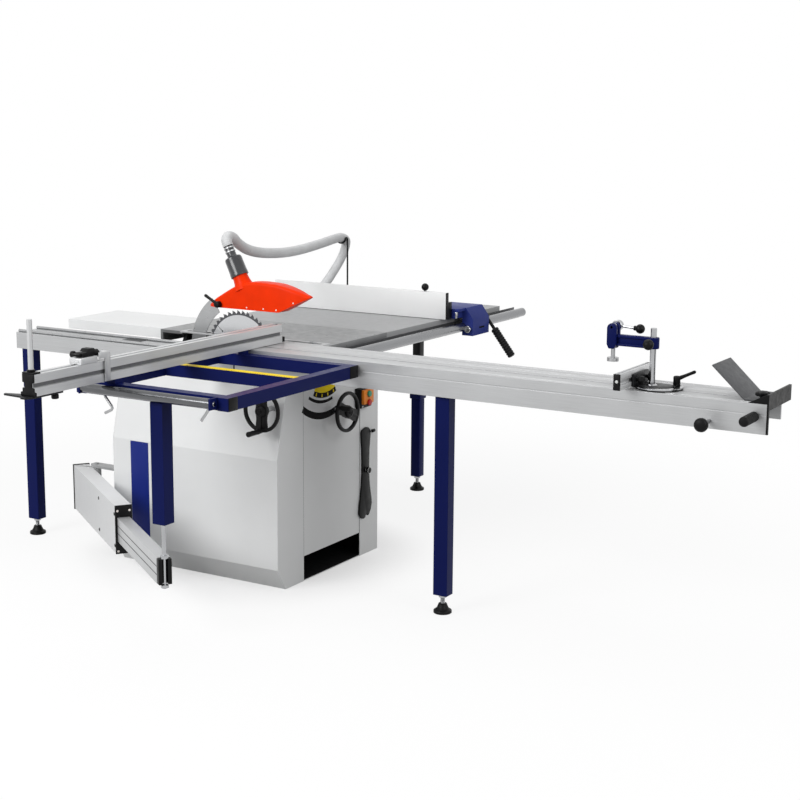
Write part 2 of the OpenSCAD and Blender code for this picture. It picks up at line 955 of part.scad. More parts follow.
module switch_box() {
    color("orange") difference() {
        bx(switch_x - switch_w / 2, switch_x + switch_w / 2, yf - switch_d, yf,
            switch_z - switch_h / 2, switch_z + switch_h / 2);
        for (s = [-1, 1]) ry(yf - switch_d - over, yf - switch_d + button_in + button_travel, switch_x,
            switch_z + s * button_rise, button_d + 2 * run_gap);
    }
}

module button(s) {
    ry(yf - switch_d - button_out, yf - switch_d + button_in, switch_x, switch_z + s * button_rise, button_d);
}

module start_button() {
    color("green") button(1);
}

module stop_button() {
    color("red") button(-1);
}

module hose_hanger() {
    rod_x = hook_x + 2 * bend_r;
    lip_z = hook_z - hook_r * sin(hook_deg);
    color("black") {
        rz(table_h - hang_down, lip_z, rod_x, hang_y, wire_d);
        translate([hook_x + bend_r, hang_y, lip_z]) rotate([90, 0, 0])
            rotate_extrude(angle = 180) translate([bend_r, 0]) circle(d = wire_d);
        translate([hook_x, hang_y, lip_z]) sphere(d = wire_d);
        translate(hook_at) rotate([90, 0, 90]) rotate([0, 0, 180 + hook_deg])
            rotate_extrude(angle = 180 - hook_deg) translate([hook_r, 0]) circle(d = wire_d);
        rz(hook_z, hook_z + hook_tip, hook_x, hook_at[1] + hook_r, wire_d);
    }
}

// Smooth run of points through a route
route_n = len(hose_route) - 1;

function clampi(i) = max(0, min(route_n, i));

function spline(p0, p1, p2, p3, t) = 0.5 * (2 * p1 + (p2 - p0) * t + (2 * p0 - 5 * p1 + 4 * p2 - p3) * t * t
    + (3 * p1 - p0 - 3 * p2 + p3) * t * t * t);

function route_at(u) = let (i = min(route_n - 1, floor(u)), t = u - i)
    i == 0 || i == route_n - 1
    ? hose_route[i] + (hose_route[i + 1] - hose_route[i]) * t
    : spline(hose_route[clampi(i - 1)], hose_route[i], hose_route[i + 1], hose_route[clampi(i + 2)], t);

// The route cut into steps of even length
fine_n = 540;
fine = [for (k = [0 : fine_n]) route_at(k * route_n / fine_n)];

function lengths(i = 0, sum = 0) = i == fine_n ? [sum]
    : concat([sum], lengths(i + 1, sum + norm(fine[i + 1] - fine[i])));
fine_len = lengths();
hose_l = fine_len[fine_n];

function find_at(s, lo, hi) = hi - lo <= 1 ? lo
    : let (m = floor((lo + hi) / 2)) fine_len[m] <= s ? find_at(s, m, hi) : find_at(s, lo, m);

function even_at(s) = let (i = find_at(s, 0, fine_n), d = fine_len[i + 1] - fine_len[i])
    fine[i] + (fine[i + 1] - fine[i]) * min(1, (s - fine_len[i]) / d);

function unit(v) = v / norm(v);

function ring_at(s, r) = let (e = hose_l / fine_n, c = even_at(s),
    t = s < e ? unit(fine[1] - fine[0]) : s > hose_l - e ? unit(fine[fine_n] - fine[fine_n - 1])
        : unit(even_at(s + e) - even_at(s - e)),
    a = unit(cross(t, [0, 1, 0])), b = cross(t, a))
    [for (k = [0 : hose_sides - 1]) c + r * (cos(k * 360 / hose_sides) * a + sin(k * 360 / hose_sides) * b)];

function skin(first, n, turned) = [for (i = [0 : n - 2]) for (k = [0 : hose_sides - 1])
    let (a = first + i * hose_sides + k, b = first + i * hose_sides + (k + 1) % hose_sides,
        c = a + hose_sides, d = b + hose_sides)
    each (turned ? [[a, b, c], [b, d, c]] : [[a, c, b], [b, c, d]])];

function rim(out, inn, turned) = [for (k = [0 : hose_sides - 1])
    let (a = out + k, b = out + (k + 1) % hose_sides, c = inn + k, d = inn + (k + 1) % hose_sides)
    each (turned ? [[a, c, b], [b, c, d]] : [[a, b, c], [b, d, c]])];

// A ribbed tube along the route: two rings for each rib outside, a plain bore inside
module ribbed_hose() {
    out_n = 2 * hose_ribs + 1;
    outer = [for (i = [0 : out_n - 1]) each ring_at(i * hose_l / (out_n - 1),
        hose_d / 2 - (i % 2 == 0 ? hose_rib : 0))];
    inner = [for (i = [0 : bore_steps]) each ring_at(i * hose_l / bore_steps, hose_bore_d / 2)];
    no = len(outer);
    polyhedron(points = concat(outer, inner), faces = concat(skin(0, out_n, false),
        skin(no, bore_steps + 1, true), rim(0, no, false),
        rim(no - hose_sides, no + bore_steps * hose_sides, true)));
}

module suction_hose() {
    color("gainsboro") ribbed_hose();
}

module arm_bracket() {
    z1 = arm_z0 + arm_h;
    color("silver") {
        bx(pivot_x - ear_plate_w / 2, pivot_x + ear_plate_w / 2, yr, yr + ear_plate_t,
            arm_z0 - ear_t - side_gap, z1 + ear_t + side_gap);
        for (z = [arm_z0 - ear_t - side_gap, z1 + side_gap]) {
            bx(pivot_x - ear_w / 2, pivot_x + ear_w / 2, yr, pivot_y, z, z + ear_t);
            rz(z, z + ear_t, pivot_x, pivot_y, ear_w);
        }
        bx(pivot_x - ear_web_t / 2, pivot_x + ear_web_t / 2, yr, yr + ear_plate_t + ear_web_l,
            arm_z0 - side_gap, z1 + side_gap);
        rz(arm_z0 - ear_t - pin_out, z1 + ear_t + pin_out, pivot_x, pivot_y, pivot_d);
    }
}

// The arm's reach and direction at rest, from the pivot to the post
arm_to = [post_x - pivot_x, post_y - pivot_y];
arm_reach = sqrt(norm(arm_to) * norm(arm_to) - arm_off * arm_off);
arm_a = atan2(arm_to[1], arm_to[0]) + asin(arm_off / norm(arm_to));

module at_arm() {
    translate([pivot_x, pivot_y, 0]) rotate([0, 0, arm_a]) children();
}

module swing_arm() {
    x1 = arm_l - arm_back;
    color("lightgray") at_arm() difference() {
        union() {
            bx(-arm_back, x1, -arm_off - arm_w / 2, -arm_off + arm_w / 2, arm_z0, arm_z0 + arm_h);
            rz(arm_z0, arm_z0 + arm_h, 0, 0, barrel_d);
        }
        bx(-arm_back + plate_end_t, x1 - plate_end_t, -arm_off - arm_w / 2 + arm_wall,
            -arm_off + arm_w / 2 - arm_wall, arm_z0 + arm_wall, arm_z0 + arm_h - arm_wall);
        bx(x1 - plate_end_t - over, x1 + over, -arm_off - inner_w / 2 - guide_gap,
            -arm_off + inner_w / 2 + guide_gap, inner_z - guide_gap, inner_z + inner_h + guide_gap);
        rz(arm_z0 - over, arm_z0 + arm_h + over, 0, 0, pivot_d + 2 * run_gap);
    }
}

module arm_slide() {
    color("silver") at_arm() {
        bx(arm_l - arm_back - inner_grip, arm_reach, -arm_off - inner_w / 2, -arm_off + inner_w / 2,
            inner_z, inner_z + inner_h);
        rz(inner_z - tip_below, inner_z + inner_h + tip_above, arm_reach, -arm_off, tip_d);
        rz(inner_z + inner_h, post_z - post_gap, arm_reach, -arm_off, tip_rod_d);
    }
}

// Part of a flat ring, as an outline
module sector(r0, r1, a0, a1) {
    far = 2 * r1;
    difference() {
        intersection() {
            circle(r = r1);
            polygon([[0, 0], for (i = [0 : 3]) far * [cos(a0 + i * (a1 - a0) / 3), sin(a0 + i * (a1 - a0) / 3)]]);
        }
        circle(r = r0);
    }
}

module trunnion_block(y, face) {
    difference() {
        along_y(y, y + block_t) union() {
            translate([tilt_x, table_h]) sector(block_r0, block_r1, block_a0, block_a1);
            translate([tilt_x + block_r0 + over, table_h - block_r0 / 2])
                square([block_r1 - block_r0 - 2 * over, block_r0 / 2 - plate_t]);
        }
        along_y(face - groove_d, face + groove_d) translate([tilt_x, table_h])
            sector(groove_r0, groove_r1, block_a0 - slot_more, block_a1 + slot_more);
    }
}

module trunnion_blocks() {
    color("dimgray") {
        trunnion_block(block_front_y, block_front_y + block_t);
        trunnion_block(block_rear_y, block_rear_y);
    }
}

module tilt_wheel() {
    color("black") translate([tilt_wheel_x, tilt_y, tilt_z]) rotate([0, -90, 0])
        handwheel(x_lean - tilt_wheel_x + tilt_shaft_in - hub_l, 180);
}

// One end of the tilting frame, with its tongue in the block's groove
module frame_end(y, tongue_y) {
    arc_y(tilt_x, table_h, block_r0 + ring_t, ring_r1, ring_a0, ring_a1, y, y + ring_t);
    arc_y(tilt_x, table_h, groove_r0 + side_gap, groove_r1 - side_gap, ring_a0, ring_a1, tongue_y,
        tongue_y + groove_d);
    bx(web_x0, side_x + side_t, y, y + ring_t, table_h - web_z0_drop, table_h - web_z1_drop);
}

module trunnion_frame() {
    lug_z = table_h - side_top_drop - lug_h;
    low_z = table_h - low_lug_drop;
    color("dimgray") difference() {
        union() {
            frame_end(ring_front_y, ring_front_y - groove_d + side_gap);
            frame_end(ring_rear_y, ring_rear_y + ring_t - side_gap);
            bx(side_x, side_x + side_t, ring_front_y, ring_rear_y + ring_t, table_h - side_z_drop,
                table_h - side_top_drop);
            for (z = [low_z, lug_z]) bx(side_x - lug_w, side_x, post_ys[0] - lug_over, post_ys[1] + lug_over,
                z, z + lug_h);
            for (y = post_ys) rz(low_z, lug_z + lug_h, post_at_x, y, guide_post_d);
            // Housing of the scoring arbor
            bx(score_house_x0, side_x, score_y - score_arm_d / 2, score_y + score_arm_d / 2,
                score_z - score_arm_d / 2, score_z + score_arm_d / 2);
        }
        ry(ring_front_y - over, ring_front_y + ring_t + over, wheel_x, wheel_z, shaft_d + 2 * run_gap);
        rx(score_house_x0 - over, side_x - over, score_y, score_z, score_shaft_d + 2 * run_gap);
    }
}

module height_wheel() {
    color("black") translate([wheel_x, yf - wheel_out, wheel_z]) rotate([90, 0, 0])
        handwheel(ring_front_y + ring_t - yf + wheel_out + over - hub_l / 2, 120);
}

module arbor_housing() {
    house_z = table_h - house_z_drop;
    color("gray") difference() {
        union() {
            bx(house_x0, house_x1, house_y0, house_y1, house_z, house_z + house_h);
            bx(mount_x0, mount_x0 + mount_t, mount_y0, mount_y1, table_h - mount_z_drop,
                table_h - mount_top_drop);
            rx(spindle_house_x0, mount_x0 + mount_t, blade_y, blade_z, spindle_house_d);
            bx(blade_x + knife_t / 2, mount_x0, holder_y, holder_y + holder_l, table_h - holder_drop,
                table_h - holder_drop + holder_h);
        }
        for (y = post_ys) rz(house_z - over, house_z + house_h + over, post_at_x, y,
            guide_post_d + 2 * run_gap);
        rx(spindle_house_x0 - over, mount_x0 + mount_t + over, blade_y, blade_z, arbor_d + 2 * run_gap);
        rx(mount_x0 - over, mount_x0 + mount_t + over, motor_y, table_h - motor_drop,
            motor_shaft_d + 2 * over);
    }
}

module motor() {
    color("steelblue") difference() {
        rx(motor_x0, mount_x0, motor_y, table_h - motor_drop, motor_d);
        rx(mount_x0 - 2 * pulley_w, mount_x0 + over, motor_y, table_h - motor_drop,
            motor_shaft_d + 2 * run_gap);
    }
}

module motor_pulley() {
    color("silver") {
        rx(mount_x0 - 2 * pulley_w + over, pulley_x0, motor_y, table_h - motor_drop, motor_shaft_d);
        rx(pulley_x0, pulley_x0 + pulley_w, motor_y, table_h - motor_drop, pulley_d);
    }
}

// The belt's loop in Y and Z round both pulleys
module belt_loop(grow) {
    hull() {
        translate([blade_y, blade_z]) circle(d = pulley_d + 2 * grow, $fn = 32);
        translate([motor_y, table_h - motor_drop]) circle(d = pulley_d + 2 * grow, $fn = 32);
    }
}

module drive_belt() {
    color("black") along_x(pulley_x0, pulley_x0 + pulley_w) difference() {
        belt_loop(belt_t);
        belt_loop(side_gap);
    }
}

module arbor() {
    hub_x0 = blade_x + blade_t / 2;
    out_x = blade_x - blade_t / 2;
    color("silver") {
        rx(hub_x0, pulley_x0, blade_y, blade_z, arbor_d);
        rx(hub_x0, hub_x1, blade_y, blade_z, flange_d);
        rx(pulley_x0, pulley_x0 + pulley_w, blade_y, blade_z, pulley_d);
        rx(out_x - flange_out, out_x, blade_y, blade_z, flange_d);
        rx(out_x - flange_out - flange_nut_t, out_x - flange_out, blade_y, blade_z, flange_nut_d);
    }
}

teeth = 36;
tooth_h = 7;
tooth_share = 0.5;

module saw_blade() {
    step = 360 / teeth;
    root_r = blade_d / 2 - tooth_h;
    color("lightgray") translate([blade_x - blade_t / 2, blade_y, blade_z]) rotate([90, 0, 90])
        linear_extrude(blade_t) polygon([for (i = [0 : teeth - 1]) each [
            blade_d / 2 * [cos(i * step), sin(i * step)],
            blade_d / 2 * [cos((i + tooth_share) * step), sin((i + tooth_share) * step)],
            root_r * [cos((i + tooth_share) * step), sin((i + tooth_share) * step)],
            root_r * [cos((i + 1) * step), sin((i + 1) * step)]]]);
}

module scoring_blade() {
    color("lightgray") {
        rx(blade_x - score_t / 2, blade_x + score_t / 2, score_y, score_z, score_d);
        rx(blade_x + score_t / 2, score_house_x0 - side_gap, score_y, score_z, 2 * score_shaft_d);
        rx(score_house_x0 - side_gap, side_x - 2 * over, score_y, score_z, score_shaft_d);
    }
}

module riving_knife() {
    color("darkgray") translate([blade_x - knife_t / 2, blade_y, blade_z]) rotate([90, 0, 90])
        rotate([0, 0, knife_a0]) rotate_extrude(angle = knife_a1 - knife_a0)
            translate([knife_r0, 0]) square([knife_r1 - knife_r0, knife_t]);
}

module guard_outline() {
    polygon([for (p = guard_shares) [guard_y0 + p[0] * guard_l, guard_z + p[1] * guard_h]]);
}

// Plan of the guard, drawn in at its nose and tail
module guard_plan() {
    last = len(guard_plan_shares) - 1;
    polygon([for (i = [0 : 2 * last + 1]) let (p = guard_plan_shares[i <= last ? i : 2 * last + 1 - i])
        [blade_x + (i <= last ? -1 : 1) * p[1] * guard_w / 2, guard_y0 + p[0] * guard_l]]);
}

// Inside of the guard's walls
module guard_core() {
    translate([0, 0, guard_z - over]) linear_extrude(guard_h + 2 * over) offset(delta = -guard_wall) guard_plan();
}

module at_spout(s) {
    translate([blade_x, spout_y, spout_z]) rotate([-spout_deg, 0, 0]) translate([0, 0, s]) children();
}

module guard_body() {
    color("orangered") difference() {
        union() {
            intersection() {
                along_x(blade_x - guard_w / 2, blade_x + guard_w / 2) guard_outline();
                translate([0, 0, guard_z - over]) linear_extrude(guard_h + 2 * over) guard_plan();
            }
            at_spout(-spout_sink) cylinder(d = spout_d, h = spout_l + spout_sink);
        }
        intersection() {
            along_x(blade_x - guard_w / 2, blade_x + guard_w / 2) offset(delta = -guard_wall) guard_outline();
            guard_core();
        }
        intersection() {
            bx(blade_x - guard_w / 2, blade_x + guard_w / 2, guard_y0 + guard_l / 3,
                guard_y0 + guard_l - guard_wall, guard_z - over, guard_z + 2 * guard_wall);
            guard_core();
        }
        // Slot for the riving knife that carries the guard
        bx(blade_x - knife_t / 2 - side_gap, blade_x + knife_t / 2 + side_gap, guard_y0 + guard_l / 2,
            guard_y0 + guard_l + over, guard_z - over, guard_z + knife_slot_h);
        at_spout(-spout_d / 2) cylinder(d = spout_d - 2 * spout_wall - 2 * over, h = spout_l + spout_d);
        rx(blade_x - guard_w / 2 - over, blade_x - guard_w / 2 + guard_wall + over, guard_pin_y, guard_pin_z,
            guard_pin_d + 2 * run_gap);
    }
}

module guard_sleeve() {
    bore = reduce_d - 2 * spout_wall;
    color("dimgray") difference() {
        union() {
            at_spout(spout_l) cylinder(d = spout_d - sleeve_rim, h = sleeve_l);
            at_spout(spout_l) cylinder(d = spout_d, h = sleeve_rim);
            at_spout(spout_l + sleeve_rim) cylinder(d = reduce_d, h = sleeve_l - sleeve_rim + reduce_l);
        }
        at_spout(spout_l - over) cylinder(d = bore, h = sleeve_l + reduce_l + 2 * over);
    }
}

module guard_lever() {
    x0 = blade_x - guard_w / 2;
    color("black") {
        rx(x0 - side_gap, x0 + guard_wall, guard_pin_y, guard_pin_z, guard_pin_d);
        rx(x0 - guard_pin_l, x0 - side_gap, guard_pin_y, guard_pin_z, 2 * guard_pin_d);
        translate([x0 - guard_pin_l / 2 - side_gap, guard_pin_y, guard_pin_z]) rotate([-guard_arm_deg, 0, 0])
            cylinder(d = guard_arm_d, h = guard_arm_l);
    }
}

module carriage() {
    color("gainsboro") along_y(car_y0, car_y1) difference() {
        union() {
            translate([car_x0, deck_z]) square([carriage_w, deck_t]);
            translate([car_x0, deck_z - skirt_drop]) square([skirt_t2, skirt_drop + deck_t]);
            translate([web_x, deck_z - web_h]) square([web_t, web_h + deck_t]);
        }
        translate([tslot_x - tslot_neck / 2, table_h - tslot_deep]) square([tslot_neck, tslot_deep + over]);
        translate([tslot_x - tslot_head / 2, table_h - tslot_deep])
            square([tslot_head, tslot_deep - tslot_lip]);
        for (p = line_xs_share) translate([car_x0 + p * carriage_w, table_h - line_d])
            square([line_w, line_d + over]);
        translate([car_x0 - over, table_h - line_drop - line_w / 2]) square([over + line_d, line_w]);
    }
}

module carriage_end() {
    bottom = deck_z - skirt_drop;
    color("black") {
        bx(car_x0, car_x0 + skirt_t2, car_y0 - end_t, car_y0, bottom, table_h);
        bx(car_x0 + skirt_t2, car_x1, car_y0 - end_t, car_y0, deck_z, table_h);
        bx(car_x0, car_x1, car_y0 - end_t, car_y0 - end_t + end_bar_t, table_h, table_h + end_bar_h);
        bx(car_x0, car_x0 + skirt_t2, car_y1, car_y1 + end_t, bottom, table_h);
        bx(car_x0 + skirt_t2, car_x1, car_y1, car_y1 + end_t, deck_z, table_h);
        along_x(car_x0, car_x0 + gusset_t) polygon([[car_y0 - end_t + end_bar_t, table_h],
            [car_y0 - end_t + end_bar_t, table_h + end_bar_h], [car_y0 + gusset_l, table_h]]);
    }
}

module push_handle() {
    color("black") {
        rx(car_x0 - push_l, car_x0 - over, push_y, push_z, push_d);
        rx(car_x0 - over, car_x0, push_y, push_z, push_stem_d);
    }
}

module lock_knob() {
    color("black") {
        rx(car_x0 - lock_shaft_l, car_x0 - side_gap, lock_y, lock_z, lock_shaft_d);
        rx(car_x0 - lock_shaft_l - lock_l, car_x0 - lock_shaft_l, lock_y, lock_z, lock_d);
    }
}

module outrigger_frame() {
    color("navy") difference() {
        union() {
            bx(out_x0, out_x1, out_y0, out_y0 + bar_w, out_z0, out_z1);
            bx(out_x0, out_x1, out_y1 - bar_w, out_y1, out_z0, out_z1);
            bx(out_x0, out_x0 + bar_w, out_y0, out_y1, out_z0, out_z1);
            bx(out_x1 - bar_w, out_x1, out_y0, out_y1, out_z0, out_z1);
            bx(mid_x - bar_w / 2, mid_x + bar_w / 2, out_y0, out_y1, out_z0, out_z1);
            // Boss that the crosscut fence turns on
            rz(out_z1, cross_z, cross_pin_x, cross_mid_y, cross_boss_d);
        }
        rz(out_z1 - bar_h / 2, cross_z + over, cross_pin_x, cross_mid_y, cross_pin_d + 2 * run_gap);
    }
}

roller_x = out_x0 - roller_off;
roller_y0 = out_y0 + bracket_in_front;
roller_y1 = out_y1 - bracket_in_rear;

module outrigger_fittings() {
    color("black") difference() {
        union() {
            for (y = [out_y0, out_y1 - bar_w]) bx(out_x0 - cap_l, out_x0, y, y + bar_w, out_z0, out_z1);
            bx(out_x0, out_x0 + bar_w, cross_y0, cross_y0 + cross_w, out_z1, cross_z);
            for (y = [roller_y0, roller_y1 - bracket_t]) bx(out_x0 - bracket_w, out_x0, y, y + bracket_t,
                out_z1 - bracket_h, out_z1);
            ry(out_y1, out_y1 + clamp_knob_l, cross_pin_x, out_z1 - bar_h / 2, clamp_knob_d);
        }
        ry(roller_y0 - over, roller_y1 + over, roller_x, roller_z, roller_pin_d + 2 * run_gap);
    }
}

module outrigger_post() {
    color("navy") upright(post_x, post_y, post_w, post_w, post_z, out_z0, post_wall);
}

module outrigger_roller() {
    color("lightgray") {
        ry(roller_y0 + bracket_t + side_gap, roller_y1 - bracket_t - side_gap, roller_x, roller_z, roller_d);
        ry(roller_y0 - roller_pin_l, roller_y1 + roller_pin_l, roller_x, roller_z, roller_pin_d);
    }
}

module frame_levers() {
    color("darkgray") for (y = lever_ys) {
        rz(out_z0 - lever_h, out_z0, post_x, y, lever_d);
        ry(y, y + lever_l, post_x, out_z0 - lever_h, lever_d);
    }
}

module crosscut_fence() {
    y1 = cross_y0 + cross_w;
    color("gainsboro") {
        along_x(cross_x0, cross_x1) difference() {
            translate([cross_y0, cross_z]) square([cross_w, cross_h]);
            translate([cross_y0 - over, cross_z + (cross_h - cross_slot_w) / 2])
                square([cross_slot_d + over, cross_slot_w]);
            translate([y1 - cross_slot_d, cross_z + (cross_h - cross_slot_w) / 2])
                square([cross_slot_d + over, cross_slot_w]);
            translate([cross_mid_y - cross_slot_w / 2, cross_z + cross_h - cross_slot_d])
                square([cross_slot_w, cross_slot_d + over]);
        }
        rz(out_z1, cross_z + over, cross_pin_x, cross_mid_y, cross_pin_d);
    }
}

module fence_end() {
    y1 = cross_y0 + cross_w;
    top = cross_z + cross_h;
    plate_x0 = cross_x0 - end_plate_out;
    color("black") {
        bx(cross_x0 - end_cap_t, cross_x0, cross_y0, y1, cross_z, top);
        bx(cross_x0 - end_cap_t, cross_x0, cross_y0 - end_foot, y1 + end_foot, cross_z, cross_z + end_foot_h);
        bx(plate_x0, plate_x0 + end_plate_l, cross_y0, y1, cross_z - end_plate_t, cross_z);
        rz(cross_z - end_plate_t - end_knob_h, cross_z - end_plate_t, plate_x0 + end_plate_l - end_knob_in,
            cross_mid_y, end_knob_d);
        bx(cross_x0 - end_cap_t, cross_x0 + end_rod_in + end_rod_d, cross_y0, y1, top, top + end_cap_t);
        rz(top, top + end_rod_h, cross_x0 + end_rod_in, cross_mid_y, end_rod_d);
    }
}

stop_z = cross_z + cross_h + side_gap;

module stop_block() {
    color("black") difference() {
        bx(stop_x, stop_x + stop_l, cross_y0 - stop_in, cross_y0 + cross_w + stop_in, stop_z, stop_z + stop_h);
        rx(stop_x + stop_l - flip_pin_l - over, stop_x + stop_l + over, cross_mid_y, stop_z + flip_rise,
            flip_pin_d + 2 * run_gap);
    }
}

module flip_stop() {
    x0 = stop_x + stop_l;
    z = stop_z + flip_rise;
    y_bar = cross_y0 - flip_out - flip_t;
    color("silver") {
        rx(x0 - flip_pin_l, x0 + side_gap, cross_mid_y, z, flip_pin_d);
        rx(x0 + side_gap, x0 + flip_hub_l, cross_mid_y, z, flip_hub_d);
        bx(x0 + flip_hub_l - flip_w, x0 + flip_hub_l, y_bar, cross_mid_y, z, z + flip_t);
        bx(x0 + flip_hub_l - flip_w, x0 + flip_hub_l, y_bar, y_bar + flip_t, z - flip_down, z + flip_t);
    }
}

module mitre_gauge() {
    z1 = table_h + mitre_t;
    color("dimgray") difference() {
        union() {
            translate([mitre_x, mitre_y, table_h]) rotate_extrude(angle = 360)
                square([mitre_r, mitre_t]);
            bx(mitre_fence_x0, mitre_fence_x0 + mitre_l, mitre_fence_y, mitre_fence_y + mitre_fence_t,
                z1, z1 + mitre_fence_h);
            bx(mitre_x - mitre_r / 2, mitre_x + mitre_r / 2, mitre_y, mitre_fence_y + mitre_fence_t, table_h, z1);
            rz(table_h - mitre_pin_l, table_h, mitre_x, mitre_y, mitre_pin_d);
            rz(z1, z1 + column_h, column_x, column_y, column_d);
        }
        rz(table_h, z1 + over, lever_x, lever_y, lever_stem_d + 2 * run_gap);
    }
}

module mitre_lever() {
    z1 = table_h + mitre_t;
    color("black") {
        rz(z1 - lever_stem_l, z1 + side_gap, lever_x, lever_y, lever_stem_d);
        rz(z1 + side_gap, z1 + lever_hub_h, lever_x, lever_y, lever_hub_d);
        translate([lever_x, lever_y, z1 + lever_hub_h - lever_arm_d / 2]) rotate([0, 90, -60])
            cylinder(d = lever_arm_d, h = lever_arm_l);
    }
}

sleeve_z = table_h + mitre_t + sleeve_lift;
head_y = column_y + clamp_l;
cam_z = sleeve_z - clamp_head_drop + clamp_head_h - cam_drop;

module clamp_arm() {
    color("royalblue") difference() {
        union() {
            rz(sleeve_z, sleeve_z + sleeve_h, column_x, column_y, sleeve_d);
            bx(column_x - clamp_arm_w / 2, column_x + clamp_arm_w / 2, column_y, head_y, sleeve_z,
                sleeve_z + sleeve_h);
            rz(sleeve_z - clamp_head_drop, sleeve_z - clamp_head_drop + clamp_head_h, column_x, head_y,
                clamp_head_d);
        }
        rz(sleeve_z - over, sleeve_z + sleeve_h + over, column_x, column_y, column_d + 2 * run_gap);
        rz(sleeve_z - clamp_head_drop - over, cam_z - cam_d, column_x, head_y, spindle_d + 2 * run_gap);
        rx(column_x - clamp_head_d, column_x + clamp_head_d, head_y, cam_z, cam_pin_d + 2 * run_gap);
    }
}

module clamp_lever() {
    x1 = column_x + clamp_head_d / 2 + side_gap;
    color("black") {
        rx(column_x - clamp_head_d / 2, x1, head_y, cam_z, cam_pin_d);
        rx(x1, x1 + cam_d, head_y, cam_z, cam_d);
        translate([x1 + cam_d / 2, head_y, cam_z]) rotate([60, 0, 0]) cylinder(d = cam_arm_d, h = cam_arm_l);
        translate([x1 + cam_d / 2, head_y, cam_z]) rotate([60, 0, 0]) translate([0, 0, cam_arm_l])
            sphere(d = ball_d);
    }
}

module clamp_spindle() {
    z1 = sleeve_z - clamp_head_drop;
    color("silver") {
        rz(z1 - spindle_out, cam_z - cam_d - spindle_top, column_x, head_y, spindle_d);
        rz(z1 - spindle_out - spindle_pad_h, z1 - spindle_out, column_x, head_y, spindle_pad_d);
    }
}

module ripping_shoe() {
    y1 = shoe_y0 + shoe_l;
    top = [y1 + flap_l * cos(flap_deg), table_h + flap_l * sin(flap_deg)];
    color("dimgray") {
        along_x(shoe_x0, shoe_x0 + shoe_w) polygon([[shoe_y0, table_h], [y1, table_h], top,
            top + shoe_t * [-sin(flap_deg), cos(flap_deg)],
            [y1 - shoe_t * tan(flap_deg / 2), table_h + shoe_t], [shoe_y0, table_h + shoe_t]]);
        rz(table_h + shoe_t / 2, table_h + shoe_t + star_h, shoe_x0 + star_in, shoe_y0 + star_in, star_d);
    }
}

module fence_carriage() {
    y0 = rail_y - head_front;
    y1 = rail_y + head_back;
    color("royalblue") difference() {
        union() {
            along_x(head_x, head_x + head_w) polygon([[y0, rail_z - head_low], [y0, rail_z + head_step],
                [rail_y - head_top_front, rail_z + head_top], [y1, rail_z + head_top],
                [y1, rail_z + head_open], [rail_y, rail_z + head_open], [rail_y, rail_z - head_low]]);
            bx(rip_x + rip_w, head_x + head_w, rail_y, rail_y + head_arm_l, rail_z + head_open + over,
                rail_z + head_open + over + head_arm_t);
        }
        rx(head_x - over, head_x + head_w + over, rail_y, rail_z, rail_d + 2 * head_gap);
        rx(head_x + head_w - flever_pin_l - over, head_x + head_w + over, flever_y, flever_z,
            flever_pin_d + 2 * run_gap);
    }
}

module rip_fence() {
    z0 = table_h + rip_lift;
    knob_y = rip_y0 + rip_knob_in;
    knob_z = z0 + rip_h + rip_stem_h;
    color("whitesmoke") {
        difference() {
            bx(rip_x, rip_x + rip_w, rip_y0, rip_y0 + rip_l, z0, z0 + rip_h);
            bx(rip_x + rip_wall, rip_x + rip_w - rip_wall, rip_y0 - over, rip_y0 + rip_l + over,
                z0 + rip_wall, z0 + rip_h - rip_wall);
        }
        rz(z0 + rip_h, knob_z, rip_x + rip_w / 2, knob_y, rip_stem_d);
        translate([rip_x + rip_w / 2, knob_y, knob_z + rip_knob_d / 3]) sphere(d = rip_knob_d);
    }
}

module fence_lever() {
    x0 = head_x + head_w;
    color("black") {
        rx(x0 - flever_pin_l, x0 + side_gap, flever_y, flever_z, flever_pin_d);
        rx(x0 + side_gap, x0 + flever_hub_l, flever_y, flever_z, flever_hub_d);
        translate([x0 + flever_hub_l / 2, flever_y, flever_z]) rotate([180 - flever_deg, 0, 0]) {
            cylinder(d = flever_rod_d, h = flever_rod_l);
            translate([0, 0, flever_rod_l]) cylinder(d = flever_grip_d, h = flever_grip_l);
        }
    }
}

module push_stick() {
    y1 = yf - stick_gap;
    color("black") difference() {
        union() {
            bx(peg_x - stick_w / 2, peg_x + stick_w / 2, y1 - stick_t, y1, stick_z, stick_z + stick_h);
            bx(peg_x - stick_grip_w / 2, peg_x + stick_w / 2, y1 - stick_t, y1, stick_z, stick_z + stick_grip_h);
        }
        ry(y1 - stick_t - over, y1 + over, peg_x, peg_z, peg_d + 2 * side_gap);
    }
}

cabinet();
left_cover();
dust_outlet();
main_table();
table_insert();
right_extension();
rear_extension();
rail_angle();
fence_rail();
extension_leg();
base_beam();
guide_bars();
beam_legs();
levelling_feet();
switch_box();
start_button();
stop_button();
hose_hanger();
suction_hose();
arm_bracket();
trunnion_blocks();
tilt_wheel();
trunnion_frame();
height_wheel();
arbor_housing();
motor();
motor_pulley();
drive_belt();
arbor();
saw_blade();
scoring_blade();
riving_knife();
guard_body();
guard_sleeve();
guard_lever();
carriage();
carriage_end();
push_handle();
lock_knob();
outrigger_frame();
outrigger_fittings();
outrigger_post();
outrigger_roller();
frame_levers();
crosscut_fence();
fence_end();
stop_block();
flip_stop();
mitre_gauge();
mitre_lever();
clamp_arm();
clamp_lever();
clamp_spindle();
ripping_shoe();
fence_carriage();
rip_fence();
fence_lever();
swing_arm();
arm_slide();
push_stick();
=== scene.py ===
"""Sliding table saw: detailed pieces, materials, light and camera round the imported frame."""
from math import copysign, cos, pi, radians, sin, tan

import bmesh
import bpy
from mathutils import Matrix, Vector


